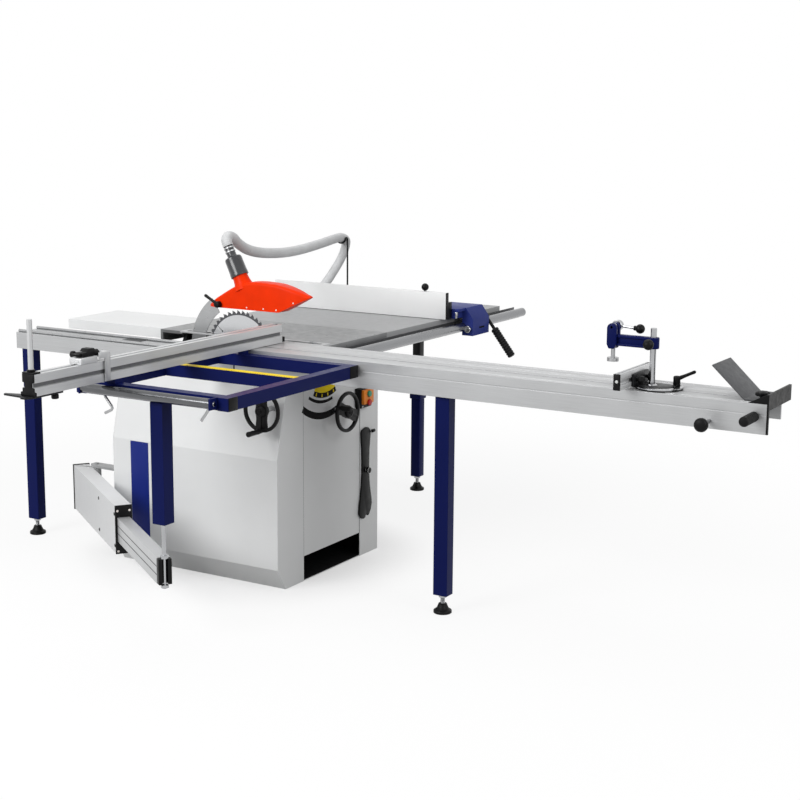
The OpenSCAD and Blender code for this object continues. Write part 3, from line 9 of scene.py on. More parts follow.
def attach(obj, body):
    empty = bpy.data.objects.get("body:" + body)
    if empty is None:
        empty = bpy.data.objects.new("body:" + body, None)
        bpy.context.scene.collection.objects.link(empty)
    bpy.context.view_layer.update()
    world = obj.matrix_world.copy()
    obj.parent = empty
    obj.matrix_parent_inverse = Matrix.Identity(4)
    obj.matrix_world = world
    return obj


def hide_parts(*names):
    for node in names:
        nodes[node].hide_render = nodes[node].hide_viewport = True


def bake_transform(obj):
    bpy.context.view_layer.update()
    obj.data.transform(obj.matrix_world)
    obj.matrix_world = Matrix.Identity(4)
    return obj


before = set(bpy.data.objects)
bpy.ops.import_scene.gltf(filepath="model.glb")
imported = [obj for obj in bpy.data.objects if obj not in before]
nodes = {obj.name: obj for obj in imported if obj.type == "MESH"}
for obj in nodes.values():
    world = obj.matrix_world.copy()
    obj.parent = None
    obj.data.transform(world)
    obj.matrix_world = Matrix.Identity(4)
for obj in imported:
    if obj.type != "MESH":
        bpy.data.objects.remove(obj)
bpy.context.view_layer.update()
scene = bpy.context.scene
MM = 0.001
TINY = 1e-6
TABLE_TOP = 870
WORLD_LEVEL = 0.34
FLOOR_SHARE = 0.97
BOUNCE_SHARE = 0.28
NEAR_WHITE_SHARE = 0.5
MID_WHITE_SHARE = 0.86
KEY_POWER = 252
FRONT_POWER = 118
TOP_POWER = 82
FLOOR_SIZE = 60
NEAR_FLOOR = (0.42, 0.76)
FAR_FLOOR = (1.4, 3.2)
SOFT_ANGLE = radians(40)
WELD_REACH = 0.00002
NOISE_SPAN = (0.3, 0.7)
X, Y, Z = Vector((1, 0, 0)), Vector((0, 1, 0)), Vector((0, 0, 1))

# Camera at the photograph's angle
cam_data = bpy.data.cameras.new("camera")
cam_data.lens = 70.39
cam_data.sensor_width = 36
cam_data.clip_end = 200
cam = bpy.data.objects.new("camera", cam_data)
scene.collection.objects.link(cam)
cam_place = Vector((-4.8398, -3.5583, 1.7668))
cam_forward = Vector((0.84380, 0.50254, -0.18831)).normalized()
cam_right = Vector((0.51286, -0.85844, 0.00723))
cam_right = (cam_right - cam_forward * cam_right.dot(cam_forward)).normalized()
cam_up = cam_right.cross(cam_forward)
turn = Matrix((cam_right, cam_up, -cam_forward)).transposed()
cam.matrix_world = Matrix.Translation(cam_place) @ turn.to_4x4()
scene.camera = cam


def linear(color):
    """A colour as seen on screen, 0 to 255, in the linear numbers that shaders take."""
    shares = [c / 255 for c in color]
    return [c / 12.92 if c <= 0.04045 else ((c + 0.055) / 1.055) ** 2.4 for c in shares] + [1]


def ramp(tree, source, a, b, low, high, kind="SMOOTHSTEP"):
    """The source's span from a to b, laid out between low and high."""
    node = tree.nodes.new("ShaderNodeMapRange")
    node.interpolation_type = kind
    node.inputs["From Min"].default_value = a
    node.inputs["From Max"].default_value = b
    node.inputs["To Min"].default_value = low
    node.inputs["To Max"].default_value = high
    tree.links.new(source, node.inputs["Value"])
    return node.outputs["Result"]


def combine(tree, operation, a, b):
    """Two node values joined by one operation."""
    node = tree.nodes.new("ShaderNodeMath")
    node.operation = operation
    tree.links.new(a, node.inputs[0])
    tree.links.new(b, node.inputs[1])
    return node.outputs[0]


# Materials
class Mat:
    """A node material: base colour with slow variation, roughness with its own, and a bump."""

    def __init__(self, name, color, rough, metal=0.0):
        self.mat = bpy.data.materials.new(name)
        self.mat.use_nodes = True
        self.tree = self.mat.node_tree
        self.bsdf = self.tree.nodes["Principled BSDF"]
        self.color, self.rough = linear(color), rough
        self.bsdf.inputs["Base Color"].default_value = self.color
        self.bsdf.inputs["Roughness"].default_value = rough
        self.bsdf.inputs["Metallic"].default_value = metal
        self.coords = self.tree.nodes.new("ShaderNodeTexCoord")

    def link(self, a, b):
        self.tree.links.new(a, b)

    def noise(self, scale, detail=3.0, stretch=(1, 1, 1)):
        m = self.tree.nodes.new("ShaderNodeMapping")
        m.inputs["Scale"].default_value = stretch
        self.link(self.coords.outputs["Object"], m.inputs["Vector"])
        n = self.tree.nodes.new("ShaderNodeTexNoise")
        n.inputs["Scale"].default_value = scale
        n.inputs["Detail"].default_value = detail
        self.link(m.outputs["Vector"], n.inputs["Vector"])
        return n.outputs["Fac"]

    def span(self, source, low, high):
        return ramp(self.tree, source, *NOISE_SPAN, low, high, "LINEAR")

    def tint(self, source, dark_share, light_share):
        """Colour between dark and light shares of the base colour."""
        mix = self.tree.nodes.new("ShaderNodeMix")
        mix.data_type = "RGBA"
        mix.inputs["A"].default_value = [dark_share * c for c in self.color[:3]] + [1]
        mix.inputs["B"].default_value = [min(1, light_share * c) for c in self.color[:3]] + [1]
        self.link(self.span(source, 0, 1), mix.inputs["Factor"])
        self.link(mix.outputs["Result"], self.bsdf.inputs["Base Color"])

    def vary_rough(self, source, spread):
        low, high = self.rough - spread, self.rough + spread
        self.link(self.span(source, low, high), self.bsdf.inputs["Roughness"])

    def bump(self, source, strength, depth):
        b = self.tree.nodes.new("ShaderNodeBump")
        b.inputs["Strength"].default_value = strength
        b.inputs["Distance"].default_value = depth
        self.link(source, b.inputs["Height"])
        self.link(b.outputs["Normal"], self.bsdf.inputs["Normal"])

    def gloss(self, shine, coat, coat_rough):
        self.bsdf.inputs["Specular IOR Level"].default_value = shine
        self.bsdf.inputs["Coat Weight"].default_value = coat
        self.bsdf.inputs["Coat Roughness"].default_value = coat_rough


def paint(name, color, rough=0.38, shine=0.4, coat=0.1):
    m = Mat(name, color, rough)
    m.gloss(shine, coat, 0.2)
    m.tint(m.noise(3.5, 4), 0.965, 1.02)
    m.vary_rough(m.noise(40, 3), 0.05)
    m.bump(m.noise(420, 2), 0.06, 0.0006)
    return m.mat


def plastic(name, color, rough=0.42, grain=0.12, coat=0.0, shine=0.3):
    m = Mat(name, color, rough)
    m.gloss(shine, coat, 0.1)
    m.tint(m.noise(18, 3), 0.95, 1.05)
    m.vary_rough(m.noise(60, 3), 0.07)
    m.bump(m.noise(1300, 2), grain, 0.0005)
    return m.mat


def brushed(name, color, rough, along, metal=1.0, strength=0.08):
    """Metal with fine lines along one axis."""
    stretch = [1.0, 1.0, 1.0]
    stretch[along] = 0.012
    m = Mat(name, color, rough, metal)
    m.tint(m.noise(650, 3, stretch), 0.93, 1.05)
    m.vary_rough(m.noise(9, 4), 0.06)
    m.bump(m.noise(900, 2, stretch), strength, 0.0004)
    return m.mat


def turned(name, color, rough, metal=1.0):
    m = Mat(name, color, rough, metal)
    m.tint(m.noise(25, 3), 0.95, 1.04)
    m.vary_rough(m.noise(70, 3), 0.04)
    m.bump(m.noise(1500, 2), 0.03, 0.0003)
    return m.mat


def cast(name, color):
    """Ground cast iron: cutter lines along the feed and faint mottling."""
    m = Mat(name, color, 0.34, 0.75)
    m.tint(m.noise(14, 6), 0.9, 1.07)
    m.vary_rough(m.noise(30, 4), 0.07)
    m.bump(m.noise(800, 2, (1.0, 0.01, 1.0)), 0.07, 0.0004)
    return m.mat


WHITE = paint("white_paint", (234, 235, 235), 0.42)
PALE = paint("pale_paint", (240, 241, 241), 0.45)
GREY = paint("grey_paint", (164, 165, 166), 0.45)
ARM_GREY = paint("arm_paint", (216, 217, 218), 0.45)
NAVY = paint("navy_paint", (17, 26, 84), 0.34, 0.06, 0.0)
BLUE = paint("blue_paint", (46, 58, 130), 0.4, 0.08, 0.0)
# Dark paint for the beam's cover plate, and painted shade in the inner arm's grooves
DARK_PAINT_AND_GROOVE_SHADE = paint("dark_paint_and_groove_shade", (62, 63, 65), 0.5, 0.2, 0.0)
IRON = cast("ground_iron", (130, 131, 132))
ROUGH_IRON = plastic("rough_iron", (72, 74, 76), 0.6, 0.6)
ALU_Y = brushed("aluminium_y", (186, 187, 188), 0.4, 1, 0.55)
ALU_X = brushed("aluminium_x", (208, 209, 210), 0.4, 0, 0.55)
ALU_D = brushed("aluminium_d", (198, 199, 200), 0.42, 2, 0.55)
STEEL = turned("turned_steel", (172, 173, 174), 0.3)
CHROME = turned("chrome", (176, 177, 179), 0.16)
RAIL = brushed("rail_steel", (140, 141, 143), 0.24, 0, 1.0, 0.05)
DARK_STEEL = plastic("black_steel", (22, 23, 25), 0.42, 0.1, 0.0, 0.2)
BLACK = plastic("black_plastic", (9, 9, 10), 0.42, 0.18, 0.0, 0.15)
SOFT_BLACK = plastic("soft_black", (15, 15, 16), 0.55, 0.3, 0.0, 0.15)
SLEEVE = plastic("grey_sleeve", (52, 53, 56), 0.22, 0.05, 0.3, 0.4)
ORANGE = plastic("orange_shell", (246, 54, 2), 0.36, 0.05, 0.0, 0.08)
AMBER = plastic("amber_cover", (236, 132, 20), 0.35, 0.06, 0.1)
GREEN = plastic("green_button", (58, 150, 116), 0.35, 0.05, 0.1)
RED = plastic("red_button", (190, 24, 22), 0.35, 0.05, 0.1)
YELLOW = plastic("yellow_scale", (252, 220, 8), 0.45, 0.04, 0.0, 0.15)
# Black for print, ticks and screw heads, and painted shade behind the front panel's arc slots
INK_AND_SHADE = plastic("black_ink_and_painted_shade", (5, 5, 5), 0.6, 0.03, 0.0, 0.06)
HOSE = plastic("hose_plastic", (213, 214, 215), 0.45, 0.08)
PAD = plastic("pad_plastic", (226, 228, 226), 0.4, 0.06)
RUBBER = plastic("belt_rubber", (22, 22, 23), 0.7, 0.5)
MOTOR = paint("motor_paint", (70, 84, 98), 0.45)
SHOE = plastic("shoe_paint", (78, 79, 81), 0.5, 0.35)
RIVET = turned("white_rivet", (240, 232, 226), 0.35, 0.0)
# Painted shade: grey for the inside of the crosscut fence's slot
SLOT_SHADE = plastic("painted_slot_shade", (112, 113, 115), 0.5, 0.05, 0.0, 0.2)
ANGLE = brushed("rail_angle_grey", (96, 97, 99), 0.42, 0, 0.6)
# Painted shade: chrome darkened all round for the outrigger roller, standing in for darker surroundings
# in its reflection
ROLLER_SHADED_CHROME = turned("roller_chrome_painted_shade", (104, 105, 107), 0.16)
# Painted shade: near black for the inside of the cabinet and its outlet, and for the blade's slots, where
# only shade shows
HOLE_SHADE = plastic("painted_hole_shade", (10, 10, 11), 0.8, 0.02, 0.0, 0.1)
BADGE = paint("plain_badge", (24, 40, 122), 0.38, 0.15, 0.0)
TOOTHED = brushed("toothed_ring", (86, 87, 90), 0.4, 0, 0.8, 0.05)


def blade_steel():
    """Polished disc: fine circles about the arbor, at the blade's own place."""
    m = Mat("blade_steel", (205, 206, 208), 0.2, 1.0)
    place = m.tree.nodes.new("ShaderNodeVectorMath")
    place.operation = "SUBTRACT"
    place.inputs[1].default_value = (-0.033, 0.023, 0.812)
    m.link(m.coords.outputs["Object"], place.inputs[0])
    far = m.tree.nodes.new("ShaderNodeVectorMath")
    far.operation = "LENGTH"
    m.link(place.outputs["Vector"], far.inputs[0])
    n = m.tree.nodes.new("ShaderNodeTexNoise")
    n.noise_dimensions = "1D"
    n.inputs["Scale"].default_value = 900
    m.link(far.outputs["Value"], n.inputs["W"])
    m.vary_rough(n.outputs["Fac"], 0.06)
    m.bump(n.outputs["Fac"], 0.06, 0.0003)
    round_way = m.tree.nodes.new("ShaderNodeTangent")
    round_way.direction_type = "RADIAL"
    round_way.axis = "X"
    m.link(round_way.outputs["Tangent"], m.bsdf.inputs["Tangent"])
    m.bsdf.inputs["Anisotropic"].default_value = 0.7
    return m.mat


BLADE = blade_steel()


# Shapes, all in millimetres
def turn_to(direction):
    return direction.normalized().to_track_quat("Z", "Y").to_matrix().to_4x4()


def placed(origin, axis):
    """The move that puts a form's own Z on an axis at its origin."""
    return Matrix.Translation(Vector(origin)) @ turn_to(Vector(axis))


def spun(place, degrees, axis):
    """A turn about an axis, and then a move to a place."""
    return Matrix.Translation(Vector(place)) @ Matrix.Rotation(radians(degrees), 4, axis)


def circle(count):
    return [(cos(2 * pi * k / count), sin(2 * pi * k / count)) for k in range(count)]


def bridge(part, a, b):
    """Faces between two rings of one count."""
    for k in range(len(a)):
        j = (k + 1) % len(a)
        part.faces.new((a[k], a[j], b[j], b[k]))


class Piece:
    """A mesh made of several forms, with its own materials, that rides on one body."""

    def __init__(self, name, body, *mats):
        self.name, self.body, self.mats = name, body, mats
        self.bm = bmesh.new()

    def take(self, part, mi):
        bmesh.ops.recalc_face_normals(part, faces=part.faces)
        for f in part.faces:
            f.material_index = mi
        tmp = bpy.data.meshes.new("tmp")
        part.to_mesh(tmp)
        part.free()
        self.bm.from_mesh(tmp)
        bpy.data.meshes.remove(tmp)

    def box(self, lo, hi, bevel=1.0, mi=0, seg=2, matrix=None):
        part = bmesh.new()
        bmesh.ops.create_cube(part, size=1)
        lo, hi = Vector(lo), Vector(hi)
        for v in part.verts:
            v.co = Vector([(lo[i] + hi[i]) / 2 + v.co[i] * (hi[i] - lo[i]) for i in range(3)])
        if bevel:
            bmesh.ops.bevel(part, geom=part.edges[:], offset=bevel, segments=seg, affect="EDGES",
                            profile=0.5)
        if matrix:
            bmesh.ops.transform(part, matrix=matrix, verts=part.verts)
        self.take(part, mi)

    def lathe(self, profile, origin, axis, seg=40, mi=0, wave=None, matrix=None):
        """A turned form: profile is (radius, height) along the axis; wave is (count, depth) lobes."""
        part = bmesh.new()
        m = placed(origin, axis)
        if matrix:
            m = matrix @ m
        rings = []
        for r, h in profile:
            if r < TINY:
                rings.append([part.verts.new(m @ Vector((0, 0, h)))])
                continue
            ring = []
            for k, (c, s) in enumerate(circle(seg)):
                rr = r
                if wave:
                    rr = r * (1 - wave[1] * (0.5 - 0.5 * cos(wave[0] * 2 * pi * k / seg)))
                ring.append(part.verts.new(m @ Vector((rr * c, rr * s, h))))
            rings.append(ring)
        for a, b in zip(rings, rings[1:]):
            for k in range(seg):
                j = (k + 1) % seg
                if len(a) == 1 and len(b) > 1:
                    part.faces.new((a[0], b[k], b[j]))
                elif len(b) == 1 and len(a) > 1:
                    part.faces.new((a[k], a[j], b[0]))
                elif len(a) > 1:
                    part.faces.new((a[k], a[j], b[j], b[k]))
        for ring in (rings[0], rings[-1]):
            if len(ring) > 1:
                part.faces.new(ring)
        self.take(part, mi)

    def rod(self, p0, p1, r, bevel=0.6, seg=28, mi=0):
        p0, p1 = Vector(p0), Vector(p1)
        h = (p1 - p0).length
        self.lathe([(0, 0), (r - bevel, 0), (r, bevel), (r, h - bevel), (r - bevel, h), (0, h)],
                   p0, p1 - p0, seg, mi)

    def pipe(self, p0, p1, r, wall, bevel=0.5, seg=40, mi=0):
        p0, p1 = Vector(p0), Vector(p1)
        h = (p1 - p0).length
        q = r - wall
        wall_line = [(q, bevel), (q + bevel, 0), (r - bevel, 0), (r, bevel), (r, h - bevel),
                     (r - bevel, h), (q + bevel, h), (q, h - bevel)]
        self.loop(wall_line, p0, p1 - p0, seg, mi)

    def loop(self, profile, origin, axis, seg=40, mi=0):
        """A closed profile turned about an axis."""
        part = bmesh.new()
        m = placed(origin, axis)
        rings = [[part.verts.new(m @ Vector((r * c, r * s, h))) for c, s in circle(seg)]
                 for r, h in profile]
        for a, b in zip(rings, rings[1:] + rings[:1]):
            bridge(part, a, b)
        self.take(part, mi)

    def sweep(self, points, radii, seg=18):
        """A round bar along a path, with its own radius at each point."""
        part = bmesh.new()
        pts = [Vector(p) for p in points]
        last = len(pts) - 1
        side = (pts[1] - pts[0]).normalized().orthogonal().normalized()
        rings = []
        for i, r in enumerate(radii):
            t = (pts[min(last, i + 1)] - pts[max(0, i - 1)]).normalized()
            side = (side - t * side.dot(t)).normalized()
            up = t.cross(side)
            rings.append([part.verts.new(pts[i] + r * (c * side + s * up)) for c, s in circle(seg)])
        for a, b in zip(rings, rings[1:]):
            bridge(part, a, b)
        part.faces.new(rings[0])
        part.faces.new(rings[-1])
        self.take(part, 0)

    def slab(self, outline, plane, d0, d1, bevel=0.8, mi=0):
        """An outline drawn out: plane "xz" runs along Y, "yz" along X and "xy" along Z."""
        part = bmesh.new()

        def at(p, d):
            if plane == "xz":
                return Vector((p[0], d, p[1]))
            if plane == "yz":
                return Vector((d, p[0], p[1]))
            return Vector((p[0], p[1], d))

        low = [part.verts.new(at(p, d0)) for p in outline]
        high = [part.verts.new(at(p, d1)) for p in outline]
        part.faces.new(low)
        part.faces.new(high)
        bridge(part, low, high)
        bmesh.ops.recalc_face_normals(part, faces=part.faces)
        if bevel:
            rim = [e for e in part.edges if e.calc_face_angle(0) > 0.6]
            bmesh.ops.bevel(part, geom=rim, offset=bevel, segments=2, affect="EDGES", profile=0.5)
        self.take(part, mi)

    def ball(self, center, r, mi=0, seg=32):
        n = seg // 2
        profile = [(r * sin(pi * i / n), -r * cos(pi * i / n)) for i in range(n + 1)]
        profile[0] = (0, -r)
        profile[-1] = (0, r)
        self.lathe(profile, center, Z, seg, mi)

    def cap_screw(self, place, axis, r, h, mi=0):
        """A cap screw with a hexagon socket."""
        s = 0.5 * r
        head = [(r * 0.96, 0), (r, 0.15 * h), (r, 0.85 * h), (0.9 * r, h), (s, h), (s * 0.98, 0.45 * h),
                (0, 0.4 * h)]
        self.lathe(head, place, axis, 18, mi)

    def nut(self, place, axis, r, h, mi=0):
        self.lathe([(0, 0), (r, 0), (r, 0.8 * h), (0.9 * r, h), (0, h)], place, axis, 6, mi)

    def move(self, matrix):
        bmesh.ops.transform(self.bm, matrix=matrix, verts=self.bm.verts)

    def done(self, replaces=(), smooth=32):
        mesh = bpy.data.meshes.new(self.name)
        bmesh.ops.scale(self.bm, vec=(MM, MM, MM), verts=self.bm.verts)
        self.bm.to_mesh(mesh)
        self.bm.free()
        for m in self.mats:
            mesh.materials.append(m)
        for p in mesh.polygons:
            p.use_smooth = True
        mesh.set_sharp_from_angle(angle=radians(smooth))
        o = bpy.data.objects.new(self.name, mesh)
        scene.collection.objects.link(o)
        if self.body:
            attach(o, self.body)
        if replaces:
            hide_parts(*replaces)
        return o


def keep(node, material, bevel=0.8, segments=2, fold=None):
    """A CAD node that stays: its own mesh with softened edges and a finished material."""
    o = nodes[node]
    o.data.materials.clear()
    o.data.materials.append(material)
    weld = o.modifiers.new("weld", "WELD")
    weld.merge_threshold = WELD_REACH
    if bevel:
        soft = o.modifiers.new("soft_edges", "BEVEL")
        soft.width = bevel * MM
        soft.segments = segments
        soft.limit_method = "ANGLE"
        soft.angle_limit = SOFT_ANGLE
        soft.use_clamp_overlap = True
    if fold:
        crisp = o.modifiers.new("crisp_folds", "EDGE_SPLIT")
        crisp.split_angle = radians(fold)
    else:
        even = o.modifiers.new("even_normals", "WEIGHTED_NORMAL")
        even.keep_sharp = False


# Suction hose: one smooth route in two lengths
hose_route = [(-33, 74.7, 1213.9), (-33, 79.5, 1223.6), (-26, 87, 1235.5), (-7, 96, 1244.5),
              (22, 105.5, 1244), (56, 115, 1234), (104, 132, 1212), (192.9, 154, 1180),
              (328, 187.7, 1154), (525, 237.4, 1134), (710.9, 285.1, 1125), (908, 334.7, 1125),
              (1116, 390.4, 1129), (1230, 419.1, 1133), (1300, 425.1, 1135), (1346, 428.1, 1117),
              (1358, 442.1, 1076), (1346, 458.1, 1026), (1300, 472.1, 967), (1260, 475.1, 934),
              (1200, 475.6, 901), (950, 481, 790), (700, 474, 657), (450, 455, 530), (250, 435, 448),
              (165, 431, 415), (126, 431, 380), (120, 431, 342), (120, 431, 292)]


def smooth_route(points, fine=24):
    """Points along a smooth curve through the route, straight in its first and last stretch."""
    pts = [Vector(p) for p in points]
    n = len(pts) - 1
    out = []
    for i in range(n):
        p0, p1, p2, p3 = pts[max(0, i - 1)], pts[i], pts[i + 1], pts[min(n, i + 2)]
        for k in range(fine):
            t = k / fine
            if i in (0, n - 1):
                out.append(p1 + (p2 - p1) * t)
            else:
                out.append(0.5 * (2 * p1 + (p2 - p0) * t + (2 * p0 - 5 * p1 + 4 * p2 - p3) * t * t
                                  + (3 * p1 - p0 - 3 * p2 + p3) * t * t * t))
    out.append(pts[-1])
    return out


def even_points(points, step):
    """The same path in steps of even length."""
    total = [0.0]
    for a, b in zip(points, points[1:]):
        total.append(total[-1] + (b - a).length)
    count = max(2, round(total[-1] / step))
    out, i = [], 0
    for k in range(count + 1):
        s = total[-1] * k / count
        while i < len(points) - 2 and total[i + 1] < s:
            i += 1
        d = max(1e-9, total[i + 1] - total[i])
        out.append(points[i] + (points[i + 1] - points[i]) * min(1, (s - total[i]) / d))
    return out, total[-1]


def hose_piece(name, path):
    """A tube with a rounded rib every few millimetres."""
    r, rib, rib_pitch, steps = 21.0, 1.5, 6.0, 4
    pts, length = even_points(path, rib_pitch / steps)
    p = Piece(name, None, HOSE)
    p.sweep(pts, [r - rib * (0.5 - 0.5 * cos(2 * pi * i / steps)) for i in range(len(pts))], 24)
    o = p.done(replaces=("suction_hose",), smooth=80)
    return o, [tuple(q * MM for q in v) for v in pts], length * MM


split_x = 184
whole = smooth_route(hose_route)
split = next(i for i, p in enumerate(whole) if p.x > split_x)
upper, upper_path, upper_length = hose_piece("hose_upper", whole[:split + 1])
lower, lower_path, lower_length = hose_piece("hose_lower", whole[split:])
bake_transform(upper)
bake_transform(lower)

# CAD nodes that stay, each with soft edges and a finished material
for row in (
        ("cabinet", WHITE, 0.6), ("left_cover", WHITE, 0.6, 2, 8), ("dust_outlet", SLEEVE, 0.8),
        ("main_table", IRON, 1.2), ("table_insert", ALU_Y, 0.5), ("right_extension", GREY, 1.0),
        ("rear_extension", PALE, 1.0), ("rail_angle", ANGLE, 0.6), ("fence_rail", RAIL, 1.0),
        ("base_beam", ALU_Y, 0.8), ("guide_bars", STEEL, 0.6), ("beam_legs", NAVY, 2.0, 3),
        ("hose_hanger", DARK_STEEL, 0.6), ("arm_bracket", GREY, 1.0),
        ("trunnion_blocks", ROUGH_IRON, 1.5), ("trunnion_frame", ROUGH_IRON, 1.5),
        ("arbor_housing", ROUGH_IRON, 1.5), ("motor_pulley", STEEL, 0.6), ("drive_belt", RUBBER, 0.5),
        ("arbor", STEEL, 0.6), ("scoring_blade", STEEL, 0.3), ("riving_knife", STEEL, 0.4),
        ("carriage", ALU_Y, 0.6), ("carriage_end", BLACK, 1.0), ("outrigger_frame", NAVY, 2.0, 3),
        ("outrigger_fittings", NAVY, 1.0), ("outrigger_post", NAVY, 2.5, 3),
        ("outrigger_roller", ROLLER_SHADED_CHROME, 0.8), ("crosscut_fence", ALU_X, 0.7),
        ("clamp_spindle", STEEL, 0.8), ("fence_carriage", BLUE, 2.5, 3), ("swing_arm", ARM_GREY, 1.5)):
    keep(*row)

# Levelling feet
ext_leg = (1234, -36)
p = Piece("levelling_foot_set", "machine", BLACK, STEEL)
for fx, fy in ((-243, -1001), (-243, 914), ext_leg):
    p.lathe([(0, 0), (31, 0), (32.5, 1.5), (32.5, 8.5), (31, 11), (26.5, 12.6), (21, 19), (16.5, 29),
             (15.2, 33.5), (13.5, 35), (0, 35)], (fx, fy, 0), Z, 44)
    thread = [(0, 34.5)]
    for i in range(12):
        thread += [(8.0, 34.5 + 1.9 * i), (7.2, 35.4 + 1.9 * i)]
    thread.append((0, 57.5))
    p.lathe(thread, (fx, fy, 0), Z, 24, 1)
    p.nut((fx, fy, 56), Z, 14, 9.6, 1)
p.done(("levelling_feet",))


# Handwheels: flat rim, a web across it, a dished hub and a turned crank grip
def handwheel(name, body, node, place, out, spoke_deg, shaft_end, grip_end):
    m0 = placed(place, out) @ Matrix.Rotation(radians(spoke_deg), 4, "Z")
    p = Piece(name, body, BLACK, SOFT_BLACK, STEEL)
    rim_r, rim_half_w, rim_half_d, square = 71, 6.6, 7.4, 0.7
    rim = [(rim_r + rim_half_w * copysign(abs(c) ** square, c),
            rim_half_d * copysign(abs(s) ** square, s)) for c, s in circle(24)]
    p.loop(rim, (0, 0, 0), Z, 72)
    web = [(-66, -24), (-30, -21), (0, -25), (30, -21), (66, -25), (66, 25), (30, 21), (0, 25),
           (-30, 21), (-66, 24)]
    p.slab(web, "xy", -5.5, 5.5, 1.6)
    rib = [(-64, -3), (64, -3), (64, 3), (-64, 3)]
    p.slab(rib, "xy", 5, 8)
    p.lathe([(0, -17), (20.5, -17), (22, -15), (22, 9), (20.5, 13), (17, 15), (13, 15.5), (12.5, 13.5),
             (0, 13)], (0, 0, 0), Z, 44)
    p.lathe([(0, 13), (7, 13), (7, 15.6), (6, 16.4), (3.4, 16.4), (3.3, 14.5), (0, 14.3)],
            (0, 0, 0), Z, 18, 1)
    p.lathe([(0, -shaft_end), (9.4, -shaft_end), (10, -shaft_end + 0.8), (10, -15), (0, -15)],
            (0, 0, 0), Z, 32, 2)
    g = grip_end
    p.lathe([(0, 4), (8.5, 4), (9, 7), (7.2, 10), (7.2, 12), (9.2, 15), (9.9, 24), (9.2, 36),
             (9.4, g - 14), (10, g - 8), (9.6, g - 3), (7.5, g - 0.6), (0, g)],
            (rim_r, 0, 0), Z, 32, 1)
    p.move(m0)
    p.done((node,), smooth=40)


tilt_shaft, tilt_grip = 147, 86
height_shaft, height_grip = 98.3, 60
handwheel("tilt_handwheel", "tilt_wheel", "tilt_wheel", (-405, -345, 677), -X, -90, tilt_shaft, tilt_grip)
handwheel("height_handwheel", "height_wheel", "height_wheel", (11, -440, 615), -Y, 158, height_shaft,
          height_grip)

# Extension leg: black upper tube, blue clamp sleeve and blue lower tube
lx, ly = ext_leg
p = Piece("extension_leg_set", "machine", NAVY, DARK_STEEL, STEEL)
for half, z0, z1, bevel, mi, seg in ((22.5, 66, 431, 3, 0, 3), (28, 430, 540, 3, 0, 3),
                                     (19, 539, 861, 2.5, 1, 3), (45, 861, 867, 1, 1, 2)):
    p.box((lx - half, ly - half, z0), (lx + half, ly + half, z1), bevel, mi, seg)
for dx in (-36, 36):
    for dy in (-36, 36):
        p.nut((lx + dx, ly + dy, 861), -Z, 6, 4, 2)
p.lathe([(0, 0), (5, 0), (5, 6), (14, 8), (15, 11), (15, 19), (13, 22), (0, 22)], (lx - 27, ly, 485),
        -X, 30, 1, wave=(6, 0.1))
p.done(("extension_leg",))

# Switch: black base, hinged amber cover, two buttons
p = Piece("switch_housing", "machine", BLACK, AMBER, STEEL)
p.box((150, -412, 600), (230, -384, 676), 3, 0, 3)
p.box((154, -424, 616), (226, -411, 672), 3, 1, 3)
for bz in (655, 621):
    p.pipe((190, -424, bz), (190, -421, bz), 15, 2.5, 0.6, 36)
for sx in (160, 220):
    p.cap_screw((sx, -412, 607), -Y, 4, 3, 2)
p.done(("switch_box",))
for name, bz, m, slot in (("start_button", 655, GREEN, "green_plastic"),
                          ("stop_button", 621, RED, "red_plastic")):
    p = Piece(name + "_cap", name, m)
    p.lathe([(0, 0), (11.4, 0), (12, 0.6), (12, 16.4), (11, 18.4), (9, 18.9), (8.6, 18.5), (0, 18.2)],
            (190, -412, bz), -Y, 36)
    p.done((name,))

# Motor: finned drum with end shields
p = Piece("motor_drum", "rise_unit", MOTOR)
my, mz = 250, 650
p.lathe([(0, -15), (58, -15), (64, -12), (66, -6), (66, 62), (64, 70), (60, 75), (9.2, 75), (9.2, 70),
         (0, 70)], (0, my, mz), X, 48)
for k in range(30):
    p.box((-4, -1, 62), (60, 1, 69.8), 0.4, 0, 1, matrix=spun((0, my, mz), 12 * k, "X"))
p.done(("motor",))

# Saw blade: hooked teeth with carbide tips, and expansion slots
p = Piece("saw_disc", "blade", BLADE, STEEL, HOLE_SHADE, TOOTHED)
bx0, by0, bz0 = -33, 23, 812
teeth = 42
ring_r = 139
disc = [(by0 + ring_r * c, bz0 + ring_r * s) for c, s in circle(120)]
p.slab(disc, "yz", bx0 - 1.1, bx0 + 1.1, 0)
step = 2 * pi / teeth
tooth_shares = ((0.0, 156.0), (0.16, 155.0), (0.46, 151.4), (0.54, 147.2), (0.7, 144.6), (0.87, 146.0),
                (0.97, 151.0))
points = [((i + share) * step, r) for i in range(teeth) for share, r in tooth_shares]
part = bmesh.new()
rims = []
for side in (bx0 - 1.0, bx0 + 1.0):
    far, near = ([part.verts.new((side, by0 + r * cos(a), bz0 + r * sin(a))) for a, r in ring]
                 for ring in (points, [(a, ring_r - 0.4) for a, r in points]))
    bridge(part, far, near)
    rims.append(far)
bridge(part, *rims)
p.take(part, 3)
for i in range(teeth):
    tip = spun((bx0, by0, bz0), 360 * i / teeth, "X")
    p.box((-1.6, 150, -1.0), (1.6, 157.3, 2.2), 0.3, 1, 1, matrix=tip)
for k in range(4):
    slot_m = spun((bx0, by0, bz0), 40 + 90 * k, "X")
    for side in (-1.13, 1.13):
        p.box((side - 0.06, 112, -0.8), (side + 0.06, 139, 0.8), 0, 2, 1, matrix=slot_m)
        p.lathe([(0, 0), (3.2, 0), (3.2, 0.1), (0, 0.1)], (side - 0.05, 110, 0), X, 18, 2,
                matrix=slot_m)
p.done(("saw_blade",), smooth=25)

